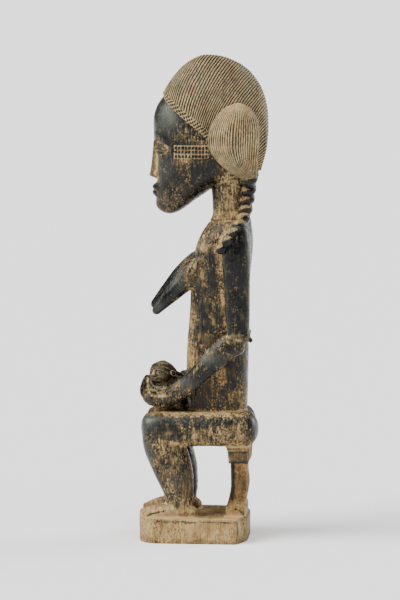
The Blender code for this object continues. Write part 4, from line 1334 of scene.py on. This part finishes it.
def carved_wood():
    """Old wood: black oily patina, worn and dusted to tan where the dust value is high, with a painted grey
    sheen on the dark patina.
    """
    material = bpy.data.materials.new("carved_wood")
    wood = Shading(material)
    shader = wood.tree.nodes["Principled BSDF"]
    dust, warm = wood.attribute("dust"), wood.attribute("warm")
    mottle = wood.swing(wood.noise(9.0, 2.0, 1.4, 1.0), 0.18)
    blotch = wood.swing(wood.noise(3.6, 3.0, 2.0, 2.0), 0.18)
    rough_places = wood.ramp(wood.noise(16.0, 2.0, 1.0, 7.0), [(0.38, "#6e6e6e"), (0.62, "#ffffff")])
    speck = wood.math("MULTIPLY", wood.swing(wood.noise(1.7, 2.0, 1.3, 3.0), 0.50), rough_places)
    grain = wood.swing(wood.noise(1.2, 3.0, 14.0, 4.0), 0.20)
    unrest = wood.math("SUBTRACT", 1.0, wood.attribute("calm"))
    worn = wood.math("MULTIPLY", wood.total(mottle, blotch, speck, grain), unrest)
    cover = wood.total(dust, worn)
    colour = wood.ramp(cover, WOOD)
    orange = wood.math("MULTIPLY", warm, 0.5)
    colour = wood.mix(orange, colour, ORANGE, "MULTIPLY")
    tint = wood.ramp(wood.noise(8.0, 3.0, 1.0, 6.0), TINTS)
    colour = wood.mix(0.6, colour, tint, "MULTIPLY")
    # The painted sheen greys only the dark patina, standing in for the lamps' sheen on it
    dark = wood.ramp(cover, [(0.3, "#ffffff"), (0.6, "#000000")])
    sheen_share = wood.math("MULTIPLY", wood.attribute("painted_sheen"), dark)
    colour = wood.mix(sheen_share, colour, SHEEN_GREY)
    wood.put(shader.inputs["Base Color"], colour)
    rough = wood.ramp(cover, [(0.15, "#747474"), (0.5, "#e8e8e8")])
    wood.put(shader.inputs["Roughness"], rough)
    shader.inputs["Specular IOR Level"].default_value = 0.2
    relief = wood.total(cover, wood.swing(wood.noise(0.8, 3.0, 8.0, 5.0), 0.25))
    bump = wood.node("ShaderNodeBump")
    bump.inputs["Strength"].default_value = 0.35
    bump.inputs["Distance"].default_value = 0.5 * MM
    wood.put(bump.inputs["Height"], relief)
    wood.put(shader.inputs["Normal"], bump.outputs["Normal"])
    return material


# Finish


def main():
    body = carved_body()
    wood = carved_wood()
    for obj in (body, carved_head(), child_head()):
        obj.data.shade_smooth()
        weather(obj)
        obj.data.materials.clear()
        obj.data.materials.append(wood)
        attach(obj, "root")
    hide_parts("figure")


# The camera: angles from square to her left side, towards her back and up; distance in metres; its lens;
# how far the picture is moved, in the photograph's pixels; and the floor's width in metres
AZIMUTH = math.radians(5)
ELEVATION = math.radians(6)
DISTANCE = 3.5
LENS = 203.6
MOVED = (5.2, -3.2)
PHOTO_HEIGHT = 600
FLOOR = 200


def camera():
    """At the photograph's angle."""
    lens = bpy.data.cameras.new("camera")
    lens.sensor_fit = "VERTICAL"
    lens.sensor_height = 36
    lens.lens = LENS
    lens.shift_x = MOVED[0] / PHOTO_HEIGHT
    lens.shift_y = MOVED[1] / PHOTO_HEIGHT
    eye = bpy.data.objects.new("camera", lens)
    target = Vector((0, 0, 0.25))
    flat = math.cos(ELEVATION)
    direction = Vector((math.cos(AZIMUTH) * flat, math.sin(AZIMUTH) * flat, math.sin(ELEVATION)))
    eye.location = target + DISTANCE * direction
    eye.rotation_euler = (target - eye.location).to_track_quat("-Z", "Y").to_euler()
    lens.clip_end = 2 * FLOOR
    bpy.context.scene.collection.objects.link(eye)
    bpy.context.scene.camera = eye


def sun(name, place, power, spread):
    """A soft distant light that shines from place towards the figure."""
    light = bpy.data.lights.new(name, "SUN")
    light.energy = power
    light.angle = math.radians(spread)
    lamp = bpy.data.objects.new(name, light)
    lamp.rotation_euler = (-Vector(place)).to_track_quat("-Z", "Y").to_euler()
    bpy.context.scene.collection.objects.link(lamp)


def studio():
    sun("key", (0.45, -0.9, 0.95), 5.4, 40)
    sun("fill", (0.5, 0.2, 1.3), 1.6, 35)
    sun("rim", (-0.5, 0.9, 0.35), 2.8, 40)
    world = bpy.data.worlds.new("studio")
    world.use_nodes = True
    world.node_tree.nodes["Background"].inputs["Color"].default_value = (1, 1, 1, 1)
    world.node_tree.nodes["Background"].inputs["Strength"].default_value = 0.34
    bpy.context.scene.world = world
    bpy.ops.mesh.primitive_plane_add(size=FLOOR, location=(0, 0, 0))
    floor = bpy.context.object
    floor.name = "floor"
    pale = bpy.data.materials.new("pale_floor")
    pale.use_nodes = True
    shader = pale.node_tree.nodes["Principled BSDF"]
    shader.inputs["Base Color"].default_value = (0.92, 0.92, 0.92, 1)
    shader.inputs["Roughness"].default_value = 0.9
    floor.data.materials.append(pale)


main()
camera()
studio()
